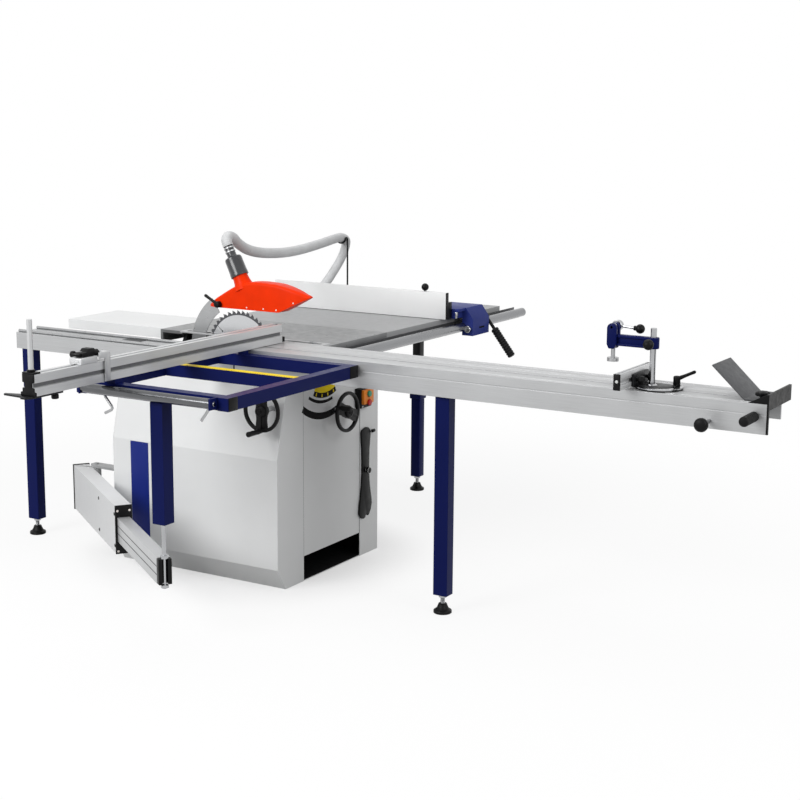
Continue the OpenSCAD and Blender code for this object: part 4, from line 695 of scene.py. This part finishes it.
# Blade guard: an orange shell, drawn in at nose and tail and open below, with its spout
guard_y0, guard_z, guard_l, guard_h, guard_w = -308, 979, 455, 108, 70
top_shares = [(0, 0.6), (0.02, 0.645), (0.14, 0.81), (0.29, 0.955), (0.43, 0.995), (0.5, 1),
              (0.6, 0.96), (0.7, 0.85), (0.79, 0.66), (0.88, 0.44), (0.955, 0.25), (1, 0.1)]
low_shares = [(0, 0.57), (0.02, 0.525), (0.28, 0), (1, 0)]
plan_shares = [(0, 0.3), (0.05, 0.52), (0.14, 0.79), (0.28, 0.99), (0.4, 1), (0.92, 1), (1, 0.62)]


def table_at(table, t, smooth):
    """Value of a table at t, along straight lines or a smooth curve through its points."""
    n = len(table) - 1
    i = max(0, min(n - 1, sum(1 for a, b in table if a <= t) - 1))
    (t0, v0), (t1, v1) = table[i], table[i + 1]
    u = (t - t0) / (t1 - t0)
    if not smooth:
        return v0 + (v1 - v0) * u
    before, after = table[max(0, i - 1)], table[min(n, i + 2)]
    m0 = (v1 - before[1]) / (t1 - before[0]) * (t1 - t0)
    m1 = (after[1] - v0) / (after[0] - t0) * (t1 - t0)
    w0 = 2 * u ** 3 - 3 * u ** 2 + 1
    return w0 * v0 + (1 - w0) * v1 + (u ** 3 - 2 * u ** 2 + u) * m0 + (u ** 3 - u ** 2) * m1


def guard_side(t):
    """Half width, lower and upper edge of the guard at a share of its length."""
    half = guard_w / 2 * min(1, table_at(plan_shares, t, True))
    low = guard_z + guard_h * table_at(low_shares, t, False)
    high = guard_z + guard_h * min(1, table_at(top_shares, t, True))
    return half, low, high


gx0 = bx0 - guard_w / 2
part = bmesh.new()
end_shares = [0, 0.008, 0.02, 0.04, 0.07, 0.93, 0.955, 0.98, 0.993, 1]
length_shares = sorted(end_shares + [0.1 + 0.03 * k for k in range(28)])
open_share = 0.29
rings = []
for t in length_shares:
    half, low, high = guard_side(t)
    r = min(12, 0.75 * half, 0.6 * (high - low))
    section = [(-half, low)]
    for k in range(6):
        a = radians(90 * k / 5)
        section.append((-half + r * (1 - cos(a)), high - r * (1 - sin(a))))
    section += [(-x, z) for x, z in reversed(section)]
    rings.append([part.verts.new((bx0 + x, guard_y0 + t * guard_l, z)) for x, z in section])
under = []
for t, a, b in zip(length_shares, rings, rings[1:]):
    for k in range(len(a)):
        j = (k + 1) % len(a)
        f = part.faces.new((a[k], a[j], b[j], b[k]))
        if j == 0 and t > open_share:
            under.append(f)
part.faces.new(rings[0])
part.faces.new(rings[-1])
bmesh.ops.recalc_face_normals(part, faces=part.faces)
bmesh.ops.delete(part, geom=under, context="FACES")
bmesh.ops.solidify(part, geom=part.faces[:], thickness=2.6)
p = Piece("guard_shell", "rise_unit", ORANGE, RIVET)
p.take(part, 0)
spout_place, spout_lean = (bx0, 7, 1075), 26
spout_at = spun(spout_place, -spout_lean, "X")
p.loop([(26.4, -24), (41, -24), (37, -12), (33.6, -2), (31.4, 8), (30, 18), (29.4, 28), (29.4, 38.6),
        (26.4, 38.6)], spout_place, (0, sin(radians(spout_lean)), cos(radians(spout_lean))), 48)
for t in (0.14, 0.3, 0.43, 0.6):
    half, low, high = guard_side(t)
    for side in (-1, 1):
        rivet_at = (bx0 + side * (half - 0.4), guard_y0 + t * guard_l, low + 9)
        p.lathe([(0, 0), (3.2, 0), (2.9, 0.9), (1.6, 1.5), (0, 1.6)], rivet_at, side * X, 18, 1)
p.done(("guard_body",), smooth=38)

# Guard sleeve: stepped collar, reducer and two hose clips
p = Piece("sleeve_collar", "rise_unit", SLEEVE, STEEL)
p.loop([(29.7, 30), (34.2, 30), (35, 31), (35, 44), (34.2, 45.4), (33.4, 98), (32.2, 104), (28, 107.5),
        (20, 110), (18, 113), (17.6, 150), (16.6, 154), (15, 154), (15, 60), (29.7, 42)],
       (0, 0, 0), Z, 48)
for s0 in (128, 143):
    p.pipe((0, 0, s0), (0, 0, s0 + 6), 19.4, 2.2, 0.5, 40, 1)
    p.box((-4, 18, s0 - 0.8), (4, 22.5, s0 + 6.8), 0.6, 1)
p.move(spout_at)
p.done(("guard_sleeve",), smooth=35)

# Guard clamp lever
p = Piece("guard_clamp_lever", "guard_lever", BLACK)
pin_y, pin_z = 94, 992
p.lathe([(0, -3.3), (5.9, -3.3), (5.9, 0.3), (12, 0.3), (12.5, 1.2), (12.2, 17), (11, 21), (8.5, 22),
         (0, 22)], (gx0, pin_y, pin_z), -X, 36)
arm_dir = Vector((0, sin(radians(62)), cos(radians(62))))
base = Vector((gx0 - 11, pin_y, pin_z))
p.sweep([base + arm_dir * s for s in (2, 14, 30, 48, 60, 66, 69, 70)],
        [6.4, 6, 5.3, 5.6, 6.3, 6, 4.2, 1])
p.done(("guard_lever",), smooth=45)

# Push handle: ribbed grip with a rounded end
p = Piece("push_grip", "carriage", SOFT_BLACK)
grip = [(0, 0), (8, 0), (8, 4), (12, 5), (15.4, 8)]
for i in range(16):
    grip += [(15.9, 10 + 5.6 * i), (15.9, 13.6 + 5.6 * i), (15.2, 14.2 + 5.6 * i),
             (15.2, 15.0 + 5.6 * i)]
grip += [(16, 100), (15.2, 105), (12, 108.6), (6, 110), (0, 110)]
p.lathe(grip, (-283, -2100, 831), -X)
p.done(("push_handle",), smooth=50)

# Lock knob: chrome shaft and a round black knob
p = Piece("lock_ball", "lock_knob", BLACK, CHROME)
p.lathe([(0, 0.3), (6.4, 0.3), (7, 0.9), (7, 58), (0, 58)], (-283, -1957, 800), -X, 30, 1)
p.lathe([(0, 56), (9, 56), (11, 58.5), (18, 62), (21.8, 68), (22.5, 74), (21, 80.5), (16, 85),
         (8, 86.8), (0, 87)], (-283, -1957, 800), -X)
p.done(("lock_knob",), smooth=50)

# Mitre clamp lever
p = Piece("mitre_clamp_lever", "mitre_lever", BLACK)
p.lathe([(0, -5), (4.9, -5), (4.9, 0.3), (11, 0.3), (12, 1.5), (11.2, 18), (11.8, 24), (11, 28),
         (8, 30), (4, 30), (3.8, 28.5), (0, 28.5)], (-160, -1800, 878), Z, 36)
arm_dir = Vector((0.5, -0.866, 0.42))
p.sweep([Vector((-160, -1800, 898)) + arm_dir * s for s in (4, 14, 28, 44, 54, 58, 60)],
        [7.4, 6.4, 5.4, 5.2, 5.6, 4.6, 1.5])
p.done(("mitre_lever",), smooth=45)

# Mitre gauge: scaled disc, slotted fence with black ends, bracket with knobs, chrome column
mx, myc = -201, -1757
p = Piece("mitre_gauge_set", "mitre", DARK_STEEL, CHROME, INK_AND_SHADE, BLACK, PAD, ALU_X)
p.lathe([(0, 870.1), (75, 870.1), (76, 870.8), (76, 874), (0, 874)], (mx, myc, 0), Z, 72, 3)
p.loop([(52, 873.8), (75, 873.8), (75.4, 874.4), (75, 877.4), (73, 878), (54, 878), (52, 877)],
       (mx, myc, 0), Z, 72, 1)
p.lathe([(0, 873.5), (46, 873.5), (47, 874.5), (47, 877), (45, 878), (0, 878)], (mx, myc, 0), Z, 56)
for k in range(61):
    long = 8 if k % 3 == 0 else 4.5
    tick = spun((mx, myc, 0), 5 * k - 60, "Z")
    p.box((73 - long, -0.35, 877.9), (73, 0.35, 878.25), 0, 2, 1, matrix=tick)
p.lathe([(0, 862.2), (5.7, 862.2), (5.7, 870.3), (0, 870.3)], (mx, myc, 0), Z, 24, 1)
fx0, fx1, fy0, fy1, fz0, fz1 = -356, -83, -1687, -1664, 878, 930
fence = [(fy0, fz0), (fy0, fz0 + 16), (fy0 + 5, fz0 + 16), (fy0 + 5, fz0 + 14), (fy0 + 9, fz0 + 14),
         (fy0 + 9, fz0 + 32), (fy0 + 5, fz0 + 32), (fy0 + 5, fz0 + 30), (fy0, fz0 + 30), (fy0, fz1),
         (fy0 + 10, fz1), (fy0 + 10, fz1 - 6), (fy0 + 17, fz1 - 6), (fy0 + 17, fz1), (fy1, fz1),
         (fy1, fz0)]
p.slab(fence, "yz", fx0 + 4, fx1 - 4, 0.5, 5)
for ex0, ex1 in ((fx0, fx0 + 4.2), (fx1 - 4.2, fx1)):
    p.box((ex0, fy0, fz0), (ex1, fy1, fz1), 0.8, 3)
p.lathe([(0, 0), (5, 0), (5, 0.6), (4, 1.2), (0, 1.2)], (fx0 + 0.4, fy0 + 11.5, fz0 + 28), -X, 28, 4)
p.slab([(mx - 50, myc + 8), (mx + 50, myc + 8), (mx + 50, fy0 + 2), (mx - 50, fy0 + 2)], "xy", 874,
       878.2, 0.4)
p.box((mx - 62, fy0 - 9, 878), (mx + 62, fy0 + 0.2, 918), 1.2)
for kx in (mx - 40, mx + 40):
    p.lathe([(0, 0), (6, 0), (6, 8), (13, 10), (14, 13), (14, 22), (12, 25), (0, 26)],
            (kx, fy0 - 8, 898), -Y, 36, 3, wave=(6, 0.12))
p.lathe([(0, 877), (17, 877), (17.5, 878.5), (14, 882), (10, 883), (10, 1060.6), (9, 1062), (0, 1062)],
        (-201, -1732, 0), Z, 36, 1)
p.done(("mitre_gauge",), smooth=35)

# Hold-down: blue casting on the column, black clamp knob
cy, hy = -1732, -1595
p = Piece("hold_down_casting", "clamp_arm", NAVY, BLACK, CHROME)
p.pipe((-201, cy, 996), (-201, cy, 1032), 19, 8.95, 1.5)
beam = [(cy + 14, 999), (hy - 14, 999), (hy - 14, 1029), (cy + 14, 1031)]
p.slab(beam, "yz", -207, -195, 1.2)
for z0, z1 in ((996, 1004), (1023, 1032)):
    p.box((-213, cy + 12, z0), (-189, hy - 12, z1), 2.2, 0, 3)
head = [(hy - 16, 1000), (hy - 9, 986), (hy + 9, 986), (hy + 16, 1000), (hy + 16, 1054),
        (hy + 13, 1062), (hy + 7, 1067), (hy, 1068.4), (hy - 7, 1067), (hy - 13, 1062), (hy - 16, 1054)]
for x0, x1 in ((-221, -206.5), (-195.5, -181)):
    p.slab(head, "yz", x0, x1, 1.8)
low_head = [(hy - 15, 1000.5), (hy - 8.5, 987), (hy + 8.5, 987), (hy + 15, 1000.5), (hy + 15, 1033),
            (hy - 15, 1033)]
p.slab(low_head, "yz", -208, -194, 1.0)
p.lathe([(0, 0), (5, 0), (5, 10), (0, 10)], (-219, cy, 1014), -X, 24, 2)
p.ball((-244, cy, 1014), 17.5, 1)
p.lathe([(0, 0), (8, 0), (9, 3), (8, 9), (0, 9)], (-226, cy, 1014), -X, 28, 1)
p.done(("clamp_arm",), smooth=38)

# Hold-down lever: eccentric, chrome rod and ball
p = Piece("hold_down_lever", "clamp_lever", BLACK, CHROME)
cz = 1056
p.rod((-221, hy, cz), (-179, hy, cz), 5, 0.6, 24, 1)
for x0, x1, cam_r in ((-206, -196, 11), (-180.7, -160, 17.6)):
    p.rod((x0, hy, cz), (x1, hy, cz), cam_r, 1, 36, 1)
rod_dir = Vector((0, -sin(radians(94)), cos(radians(94))))
start = Vector((-169.7, hy, cz))
p.rod(start + rod_dir * 4, start + rod_dir * 68, 4.6, 0.4, 24, 1)
p.ball(start + rod_dir * 78, 15.5)
p.lathe([(0, 0), (7.4, 0), (8, 1), (8, 8), (0, 8)], start + rod_dir * 57, rod_dir, 28)
p.done(("clamp_lever",), smooth=40)

# Ripping shoe: bent dark plate with its star knob and two screws
p = Piece("shoe_plate", "carriage", SHOE, BLACK, CHROME)
sy0, sy1, st = -2127, -2052, 5
shoe_bend, shoe_l = 43, 145
ca, sa = cos(radians(shoe_bend)), sin(radians(shoe_bend))
top = (sy1 + shoe_l * ca, TABLE_TOP + shoe_l * sa)
bend = [(sy0, TABLE_TOP), (sy1 - 4, TABLE_TOP)]
for k in range(1, 6):
    a = radians(shoe_bend * k / 5)
    bend.append((sy1 - 4 + 10 * sin(a) * 0.55, TABLE_TOP + 10 * (1 - cos(a)) * 0.55))
bend += [top, (top[0] - st * sa, top[1] + st * ca),
         (sy1 - st * tan(radians(shoe_bend / 2)), TABLE_TOP + st), (sy0, TABLE_TOP + st)]
p.slab(bend, "yz", -253, -88)
kx, ky = -231, -2105
p.lathe([(0, 875), (9, 875), (9, 881), (7, 884), (7, 888), (0, 888)], (kx, ky, 0), Z, 28, 1)
p.lathe([(0, 886), (20, 886), (23.5, 888.5), (24.5, 892), (23.5, 897), (18, 900), (7, 901), (0, 901)],
        (kx, ky, 0), Z, 56, 1, wave=(7, 0.16))
for sx in (-196, -140):
    p.cap_screw((sx, -2092, 875), Z, 5, 5, 2)
p.done(("ripping_shoe",), smooth=35)

# Rip fence lever: pivot, rod and ribbed grip
p = Piece("fence_clamp_lever", "fence_lever", BLACK, SOFT_BLACK)
fl = Vector((1057, -472, 862))
p.rod((1030, -472, 862), (1048.4, -472, 862), 5, 0.4, 24)
p.lathe([(0, 0.3), (12, 0.3), (13, 1.4), (13, 16), (11.5, 18), (0, 18)], (1048, -472, 862), X, 36)
ld = Vector((0, -sin(radians(38)), -cos(radians(38))))
p.rod(fl + ld * 6, fl + ld * 72, 7, 0.5, 24)
rib = [(0, 66), (12, 66), (15.4, 68)]
for i in range(11):
    s = 70 + 11.6 * i
    rib += [(16.6, s + 1), (16.6, s + 7.2), (14.4, s + 8.6), (14.4, s + 10.2)]
rib += [(16.6, 199), (16, 204), (12.6, 207), (0, 207.4)]
p.lathe(rib, fl, ld, 36, 1)
p.done(("fence_lever",), smooth=50)

# Crosscut stop: light base on the fence, black bracket, flat lever and a knob on a chrome stem
p = Piece("stop_housing", "stop", BLACK, ALU_X, CHROME, SOFT_BLACK)
p.box((-1188, -216, 940.4), (-1110, -166, 961), 2, 1, 3)
bracket = [(-1170, 960.5), (-1124, 960.5), (-1111, 962), (-1111, 982), (-1116, 986.2), (-1140, 986.2),
           (-1150, 976), (-1170, 976)]
p.slab(bracket, "xz", -207, -175, 1.6)
p.slab([(-1192, 968), (-1168, 966), (-1168, 973.5), (-1192, 974.5)], "xz", -202, -180, 1.2)
p.rod((-1149, -171, 964), (-1149, -153, 964), 4.4, 0.4, 24, 2)
p.lathe([(0, 0), (7, 0), (11, 2), (12, 5), (12, 11), (10, 14), (0, 14.6)], (-1149, -155, 964), Y, 40, 3,
        wave=(6, 0.1))
p.cap_screw((-1160, -191, 975.8), Z, 4, 3, 2)
p.done(("stop_block",), smooth=38)

# Flip stop: bright bent bar on a chrome pivot
p = Piece("flip_bar", "flip", ALU_D, CHROME, BLACK)
p.rod((-1124, -191, 966.3), (-1058.4, -191, 966.3), 5.8, 0.6, 28, 1)
p.rod((-1109.6, -191, 966.3), (-1085.6, -191, 966.3), 12, 1, 36, 2)
bar = [(-1110, 951), (-1082, 951), (-1082, 877), (-1079, 874), (-1061, 874), (-1058, 877), (-1058, 958),
       (-1060, 965), (-1065, 969.5), (-1071, 971), (-1110, 971)]
p.slab(bar, "xz", -223, -218)
p.box((-1084, -220, 957), (-1060, -189, 970.6), 2)
p.done(("flip_stop",), smooth=38)

# Far end of the crosscut fence: black end cap, tapered plate, clamp knob and upright rod
p = Piece("fence_end_set", "crosscut", BLACK, DARK_STEEL, ALU_D)
cap = [(-222, 872.2), (-160, 872.2), (-160, 884), (-168, 886.5), (-168, 897), (-177, 899.5),
       (-177, 913), (-168, 915.5), (-168, 940), (-214, 940), (-214, 915.5), (-205, 913), (-205, 899.5),
       (-214, 897), (-214, 886.5), (-222, 884)]
p.slab(cap, "yz", -1399, -1393)
foot = [(-1423, -201), (-1423, -181), (-1408, -172), (-1402, -92), (-1392, -88), (-1366, -168),
        (-1270, -168), (-1263, -175), (-1263, -207), (-1270, -214), (-1402, -212)]
p.slab(foot, "xy", 866, 871.9, 0.8, 1)
p.lathe([(0, 0), (6, 0), (6, 4), (11, 5), (12, 7), (12, 17), (10.4, 19.4), (0, 20)],
        (-1283, -191, 866.2), -Z, 40, 0, wave=(6, 0.1))
p.box((-1399, -214, 939.8), (-1366, -168, 946), 1.4, 0, 3)
p.lathe([(0, 0), (12, 0), (12.6, 1), (12.6, 6), (11, 8), (0, 8)], (-1383, -191, 945.6), Z, 36)
p.rod((-1383, -191, 950), (-1383, -191, 1107.8), 8.5, 1.2, 36, 2)
p.done(("fence_end",), smooth=38)

# Painted shade: a grey strip in the fence's long slot, where shade falls, and the black foot and clip at
# its near end
p = Piece("fence_slot_shade_and_foot", "crosscut", SLOT_SHADE, BLACK)
p.box((-1391, -205.5, 899.4), (-91, -204.9, 912.6), 0.2, 0, 1)
p.box((-88.8, -215, 873), (-73, -190, 893), 2, 1, 3)
p.box((-88.8, -212, 924), (-85, -170, 939.4), 0.8, 1)
p.done()

# Push stick: long black bone with a broad notched foot and a small knob beside it, and its peg's cap
p = Piece("push_stick_body", "push_stick", BLACK)
stick = [(176, 186), (175, 172), (184, 158), (198, 150), (209, 148), (218, 152), (224, 162), (232, 163),
         (236, 155), (246, 158), (260, 178), (266, 201), (264, 224), (258, 247), (250, 285), (246, 330),
         (246, 380), (248, 425), (253, 460), (256, 488), (250, 503), (238, 511), (223, 513.5),
         (206, 510), (193, 505), (188, 498), (190, 470), (195, 425), (196, 380), (196, 330), (192, 285),
         (186, 247), (180, 215)]
p.slab(stick, "xz", -391.6, -384.7, 1.6)
p.rod((248, -390.4, 491), (267, -390.4, 491), 3.2, 0.4, 20)
p.lathe([(0, 0), (5, 0), (6.6, 2), (6.6, 15), (5.4, 17.4), (0, 18)], (265, -392, 491), X, 28)
p.done(("push_stick",), smooth=38)
p = Piece("peg_cap", "machine", BLACK)
p.lathe([(0, 0), (12.2, 0), (12.6, 0.8), (12.6, 8), (11, 10.6), (0, 11)], (222, -397.8, 343), -Y, 36)
p.done()

# Blue plain plate on the left cover
p = Piece("plain_plate", "machine", BADGE)
p.box((-369.4, 211, 115), (-367.8, 297, 488), 0.5)
p.done()

# Yellow scale on the middle bar of the outrigger
p = Piece("outrigger_scale", "carriage", YELLOW, INK_AND_SHADE)
p.box((-621, -634, 855.8), (-590, -90, 856.8), 0.3, 0, 1)
for k in range(53):
    y = -624 + 10 * k
    w = 9 if k % 5 == 0 else 5
    p.box((-621, y - 0.4, 856.6), (-621 + w, y + 0.4, 856.95), 0, 1, 1)
p.done()

# Tilt scale on the front panel, and painted shade behind its arc slots
p = Piece("tilt_scale", "machine", YELLOW, INK_AND_SHADE)
tx, tz = -53, TABLE_TOP


def arc_band(piece, r0, r1, a0, a1, y0, y1, mi, steps=32):
    turns = [radians(a0 + (a1 - a0) * k / steps) for k in range(steps + 1)]
    pts = [(tx + r1 * cos(a), tz + r1 * sin(a)) for a in turns]
    pts += [(tx + r0 * cos(a), tz + r0 * sin(a)) for a in reversed(turns)]
    piece.slab(pts, "xz", y0, y1, 0, mi)


arc_band(p, 150, 176, -114, -68, -383.2, -381.4, 0)
arc_band(p, 176, 195, -114, -68, -383.2, -381.4, 1)
for k in range(4):
    a = -109 + 12 * k
    arc_band(p, 180, 192, a - 0.9, a + 0.9, -383.5, -383, 0, 1)
# Painted shade: black arc bands just behind the panel's two arc slots, where only shade falls
arc_band(p, 247, 279, -127, -70, -380.9, -380.2, 1)
arc_band(p, 201, 219, -123, -74, -380.9, -380.2, 1)
p.done()

# Painted shade: dark plates inside the cabinet and a dark disc in its outlet, where only shade falls, and
# the seams of the front panel
p = Piece("inner_shade", "machine", HOLE_SHADE, ROUGH_IRON)
p.box((-296, -379.4, 5), (279, -202, 6.4), 0.4, 0, 1)
p.box((-296, -205, 5), (279, -200, 250), 0.6, 0, 1)
p.box((277.6, -379.4, 5), (279.6, -200, 250), 0.4, 0, 1)
p.box((-200, -380.6, 1), (186, -379.2, 6), 0.2, 0, 1)
p.lathe([(0, 0), (46, 0), (47, 0.6), (47, 2), (0, 2.4)], (120, 374, 230), Y, 48)
for sx in (-201, 187):
    p.box((sx - 0.5, -384.2, 95), (sx + 0.5, -383.4, 773), 0, 1, 1)
p.done()

# Swing arm: end plates, screws, and the bright inner arm with its dark tip and painted shade along its
# grooves
arm_at = spun((-283, 548, 0), 234.479, "Z")
p = Piece("arm_trim", "arm", BLACK, RIVET)
p.box((-62.5, -81, 157), (-56.8, -15, 340), 0.8)
for y0, z0, y1, z1 in ((-79, 294.2, -17, 338), (-79, 159, -17, 202.8), (-79, 202.4, -71.2, 294.6),
                       (-24.8, 202.4, -17, 294.6)):
    p.box((627.8, y0, z0), (633, y1, z1), 0.6)
for sy, sz in ((-70, 318), (-26, 318), (-70, 169), (-26, 169)):
    p.lathe([(0, 0), (4.4, 0), (4, 1.4), (2, 2.2), (0, 2.2)], (632.6, sy, sz), X, 22, 1)
for sx, sz in ((372, 305), (372, 184), (618, 305), (618, 188)):
    p.lathe([(0, 0), (6.6, 0), (6.2, 1.4), (3, 2.4), (0, 2.4)], (sx, -77.9, sz), -Y, 22)
p.move(arm_at)
p.done()

p = Piece("arm_slide_set", "arm_slide", ALU_D, BLACK, CHROME, DARK_PAINT_AND_GROOVE_SHADE)
p.box((508, -70.5, 203.5), (1166, -25.5, 293.5), 1.6, 0, 3)
# Painted shade: thin dark strips along both sides of the inner arm, where its grooves are
for gz in (234, 262):
    for gy in (-70.9, -25.7):
        p.box((509, gy, gz), (1165, gy + 0.6, gz + 3.4), 0.1, 3, 1)
for y0, y1 in ((-70.5, -57), (-39, -25.5)):
    p.box((1165, y0, 205), (1192, y1, 292), 2.4, 1, 3)
p.box((1165, -58, 205), (1172, -38, 292), 0.8, 1)
p.lathe([(0, 190), (6.4, 190), (7, 191), (7, 409.6), (0, 409.6)], (1180.6, -48, 0), Z, 32, 2)
for z0 in (193, 292.5):
    p.lathe([(0, 0), (14, 0), (14, 8.5), (12.6, 10), (0, 10)], (1180.6, -48, z0), Z, 6, 2)
p.move(arm_at)
p.done(("arm_slide",), smooth=35)

# Outrigger: corner plates, roller brackets with bright bolts, a knob, and bent clamp levers
p = Piece("outrigger_trim", "carriage", NAVY, CHROME, BLACK)
for x0, x1 in ((-1030, -984), (-334, -284)):
    p.box((x0, -673.6, 813.4), (x1, -671.6, 856.6), 0.6, 2)
for y0, screw_y, way in ((-630.6, -630.4, -Y), (-97.8, -91.6, Y)):
    p.box((-1070.4, y0, 819.6), (-1028, y0 + 6.4, 856.4), 1.2)
    p.cap_screw((-1053, screw_y, 838), way, 7, 4, 1)
p.lathe([(0, 0), (8, 0), (8, 5), (16.6, 7), (17.4, 9), (17.4, 18), (15, 20.6), (0, 21)],
        (-303, -52, 835), Y, 40, 2, wave=(7, 0.08))
p.done()

p = Piece("frame_lever_set", "carriage", STEEL)
lever_r, lever_x = 4.8, -1008
far_lever = ((-150, 814.2), (-152, 806), (-164, 792), (-178, 777), (-181, 770), (-177, 764),
             (-163, 757), (-150, 751), (-148, 750.5))
near_lever = ((-578, 814.2), (-576, 806), (-566, 792), (-553, 776), (-548, 769), (-546.5, 767))
for line in (far_lever, near_lever):
    p.sweep([(lever_x, y, z) for y, z in line], [lever_r] * (len(line) - 1) + [2])
p.done(("frame_levers",), smooth=45)

# Screws and a cover plate on top of the base beam
p = Piece("beam_trim", "machine", INK_AND_SHADE, DARK_PAINT_AND_GROOVE_SHADE)
for y in (873, 757, 638, 502, 368, 237):
    p.lathe([(0, 0), (6.4, 0), (6.4, 0.8), (5, 1.3), (0, 1.3)], (-246, y, 837.9), Z, 24)
p.box((-215, 380, 837.8), (-165, 470, 839.4), 0.4, 1)
p.done()

# Rip fence and its head: knob, end cap, top plate, adjuster and slot
p = Piece("rip_fence_set", "rip", PALE, ALU_Y, BLACK, CHROME)
p.box((791, -422, 872), (811, 442, 983), 0.8)
profile = [(810, 872), (841, 872), (841, 894), (836, 894), (836, 888), (822, 888), (822, 926),
           (836, 926), (836, 920), (841, 920), (841, 942), (810, 942)]
p.slab(profile, "xz", -421.6, 441.6, 0.6, 1)
p.box((790.6, -424.4, 872.4), (811.4, -421.6, 983.2), 0.9, 2)
p.box((810.6, -423.6, 872.4), (841.2, -421.2, 942.2), 0.7, 2)
p.box((790.8, 441.4, 872.4), (841.2, 444, 942.2), 0.9, 2)
p.lathe([(0, 982.6), (7, 982.6), (7, 984.6), (5, 985.6), (5, 992), (0, 992)], (801, -317, 0), Z, 28, 3)
p.ball((801, -317, 1001), 15.5, 2)
p.done(("rip_fence",))

p = Piece("rip_trim", "rip", CHROME, BLUE, INK_AND_SHADE, STEEL)
p.box((843, -454, 899), (1048, -292, 912.2), 2, 1, 3)
p.box((841.2, -446, 873), (856, -424, 899.4), 0.8, 3)
p.lathe([(0, 0), (14, 0), (15, 1.2), (15, 15), (13.6, 17), (8, 17.4), (7.6, 14), (0, 13.6)],
        (904, -471, 824), -X, 36)
p.box((961, -491.6, 822), (1006, -490.6, 829), 0.4, 2, 1)
p.done()


# Floor and light
def seen_rays(tree):
    """1 for rays from the camera, or seen in metal or glass, else 0."""
    rays = tree.nodes.new("ShaderNodeLightPath").outputs
    first = combine(tree, "MAXIMUM", rays["Is Camera Ray"], rays["Is Glossy Ray"])
    return combine(tree, "MAXIMUM", first, rays["Is Transmission Ray"])


floor_mesh = bpy.data.meshes.new("floor")
fb = bmesh.new()
bmesh.ops.create_grid(fb, x_segments=1, y_segments=1, size=FLOOR_SIZE)
fb.to_mesh(floor_mesh)
fb.free()
floor = bpy.data.objects.new("floor", floor_mesh)
scene.collection.objects.link(floor)
floor_mat = bpy.data.materials.new("floor")
floor_mat.use_nodes = True
ft = floor_mat.node_tree
ft.nodes.clear()
node, link = ft.nodes.new, ft.links.new
floor_out = node("ShaderNodeOutputMaterial")
floor_white = node("ShaderNodeEmission")
floor_white.inputs["Color"].default_value = (1, 1, 1, 1)
floor_lit = node("ShaderNodeBsdfDiffuse")
floor_at = node("ShaderNodeTexCoord")
floor_far = node("ShaderNodeVectorMath")
floor_far.operation = "LENGTH"
link(floor_at.outputs["Object"], floor_far.inputs[0])
floor_seen = seen_rays(ft)
near_white = ramp(ft, floor_far.outputs["Value"], *NEAR_FLOOR, NEAR_WHITE_SHARE, MID_WHITE_SHARE)
far_white = ramp(ft, floor_far.outputs["Value"], *FAR_FLOOR, 0, 1 - MID_WHITE_SHARE)
fade = combine(ft, "MULTIPLY", combine(ft, "ADD", near_white, far_white), floor_seen)
floor_tone = node("ShaderNodeCombineColor")
for channel in ("Red", "Green", "Blue"):
    link(ramp(ft, floor_seen, 0, 1, BOUNCE_SHARE, FLOOR_SHARE), floor_tone.inputs[channel])
link(floor_tone.outputs["Color"], floor_lit.inputs["Color"])
floor_mix = node("ShaderNodeMixShader")
link(fade, floor_mix.inputs[0])
link(floor_lit.outputs[0], floor_mix.inputs[1])
link(floor_white.outputs[0], floor_mix.inputs[2])
link(floor_mix.outputs[0], floor_out.inputs["Surface"])
floor_mesh.materials.append(floor_mat)

world = bpy.data.worlds.new("world")
scene.world = world
world.use_nodes = True
wt = world.node_tree
bg = wt.nodes["Background"]
bg.inputs["Color"].default_value = (1, 1, 1, 1)
wt.links.new(ramp(wt, seen_rays(wt), 0, 1, WORLD_LEVEL, 1.0), bg.inputs["Strength"])


def lamp(name, place, target, size, power):
    data = bpy.data.lights.new(name, "AREA")
    data.shape = "DISK"
    data.size = size
    data.energy = power
    o = bpy.data.objects.new(name, data)
    o.location = place
    o.rotation_euler = (Vector(target) - Vector(place)).to_track_quat("-Z", "Y").to_euler()
    scene.collection.objects.link(o)


lamp("key", (-5.5, 1.5, 3.6), (0, 0.0, 0.5), 3.5, KEY_POWER)
lamp("front", (-1.0, -6.0, 3.5), (0, -0.3, 0.6), 4.0, FRONT_POWER)
lamp("top", (0.5, 0.5, 6.0), (0, 0, 0.8), 5.0, TOP_POWER)

scene.view_settings.view_transform = "Standard"
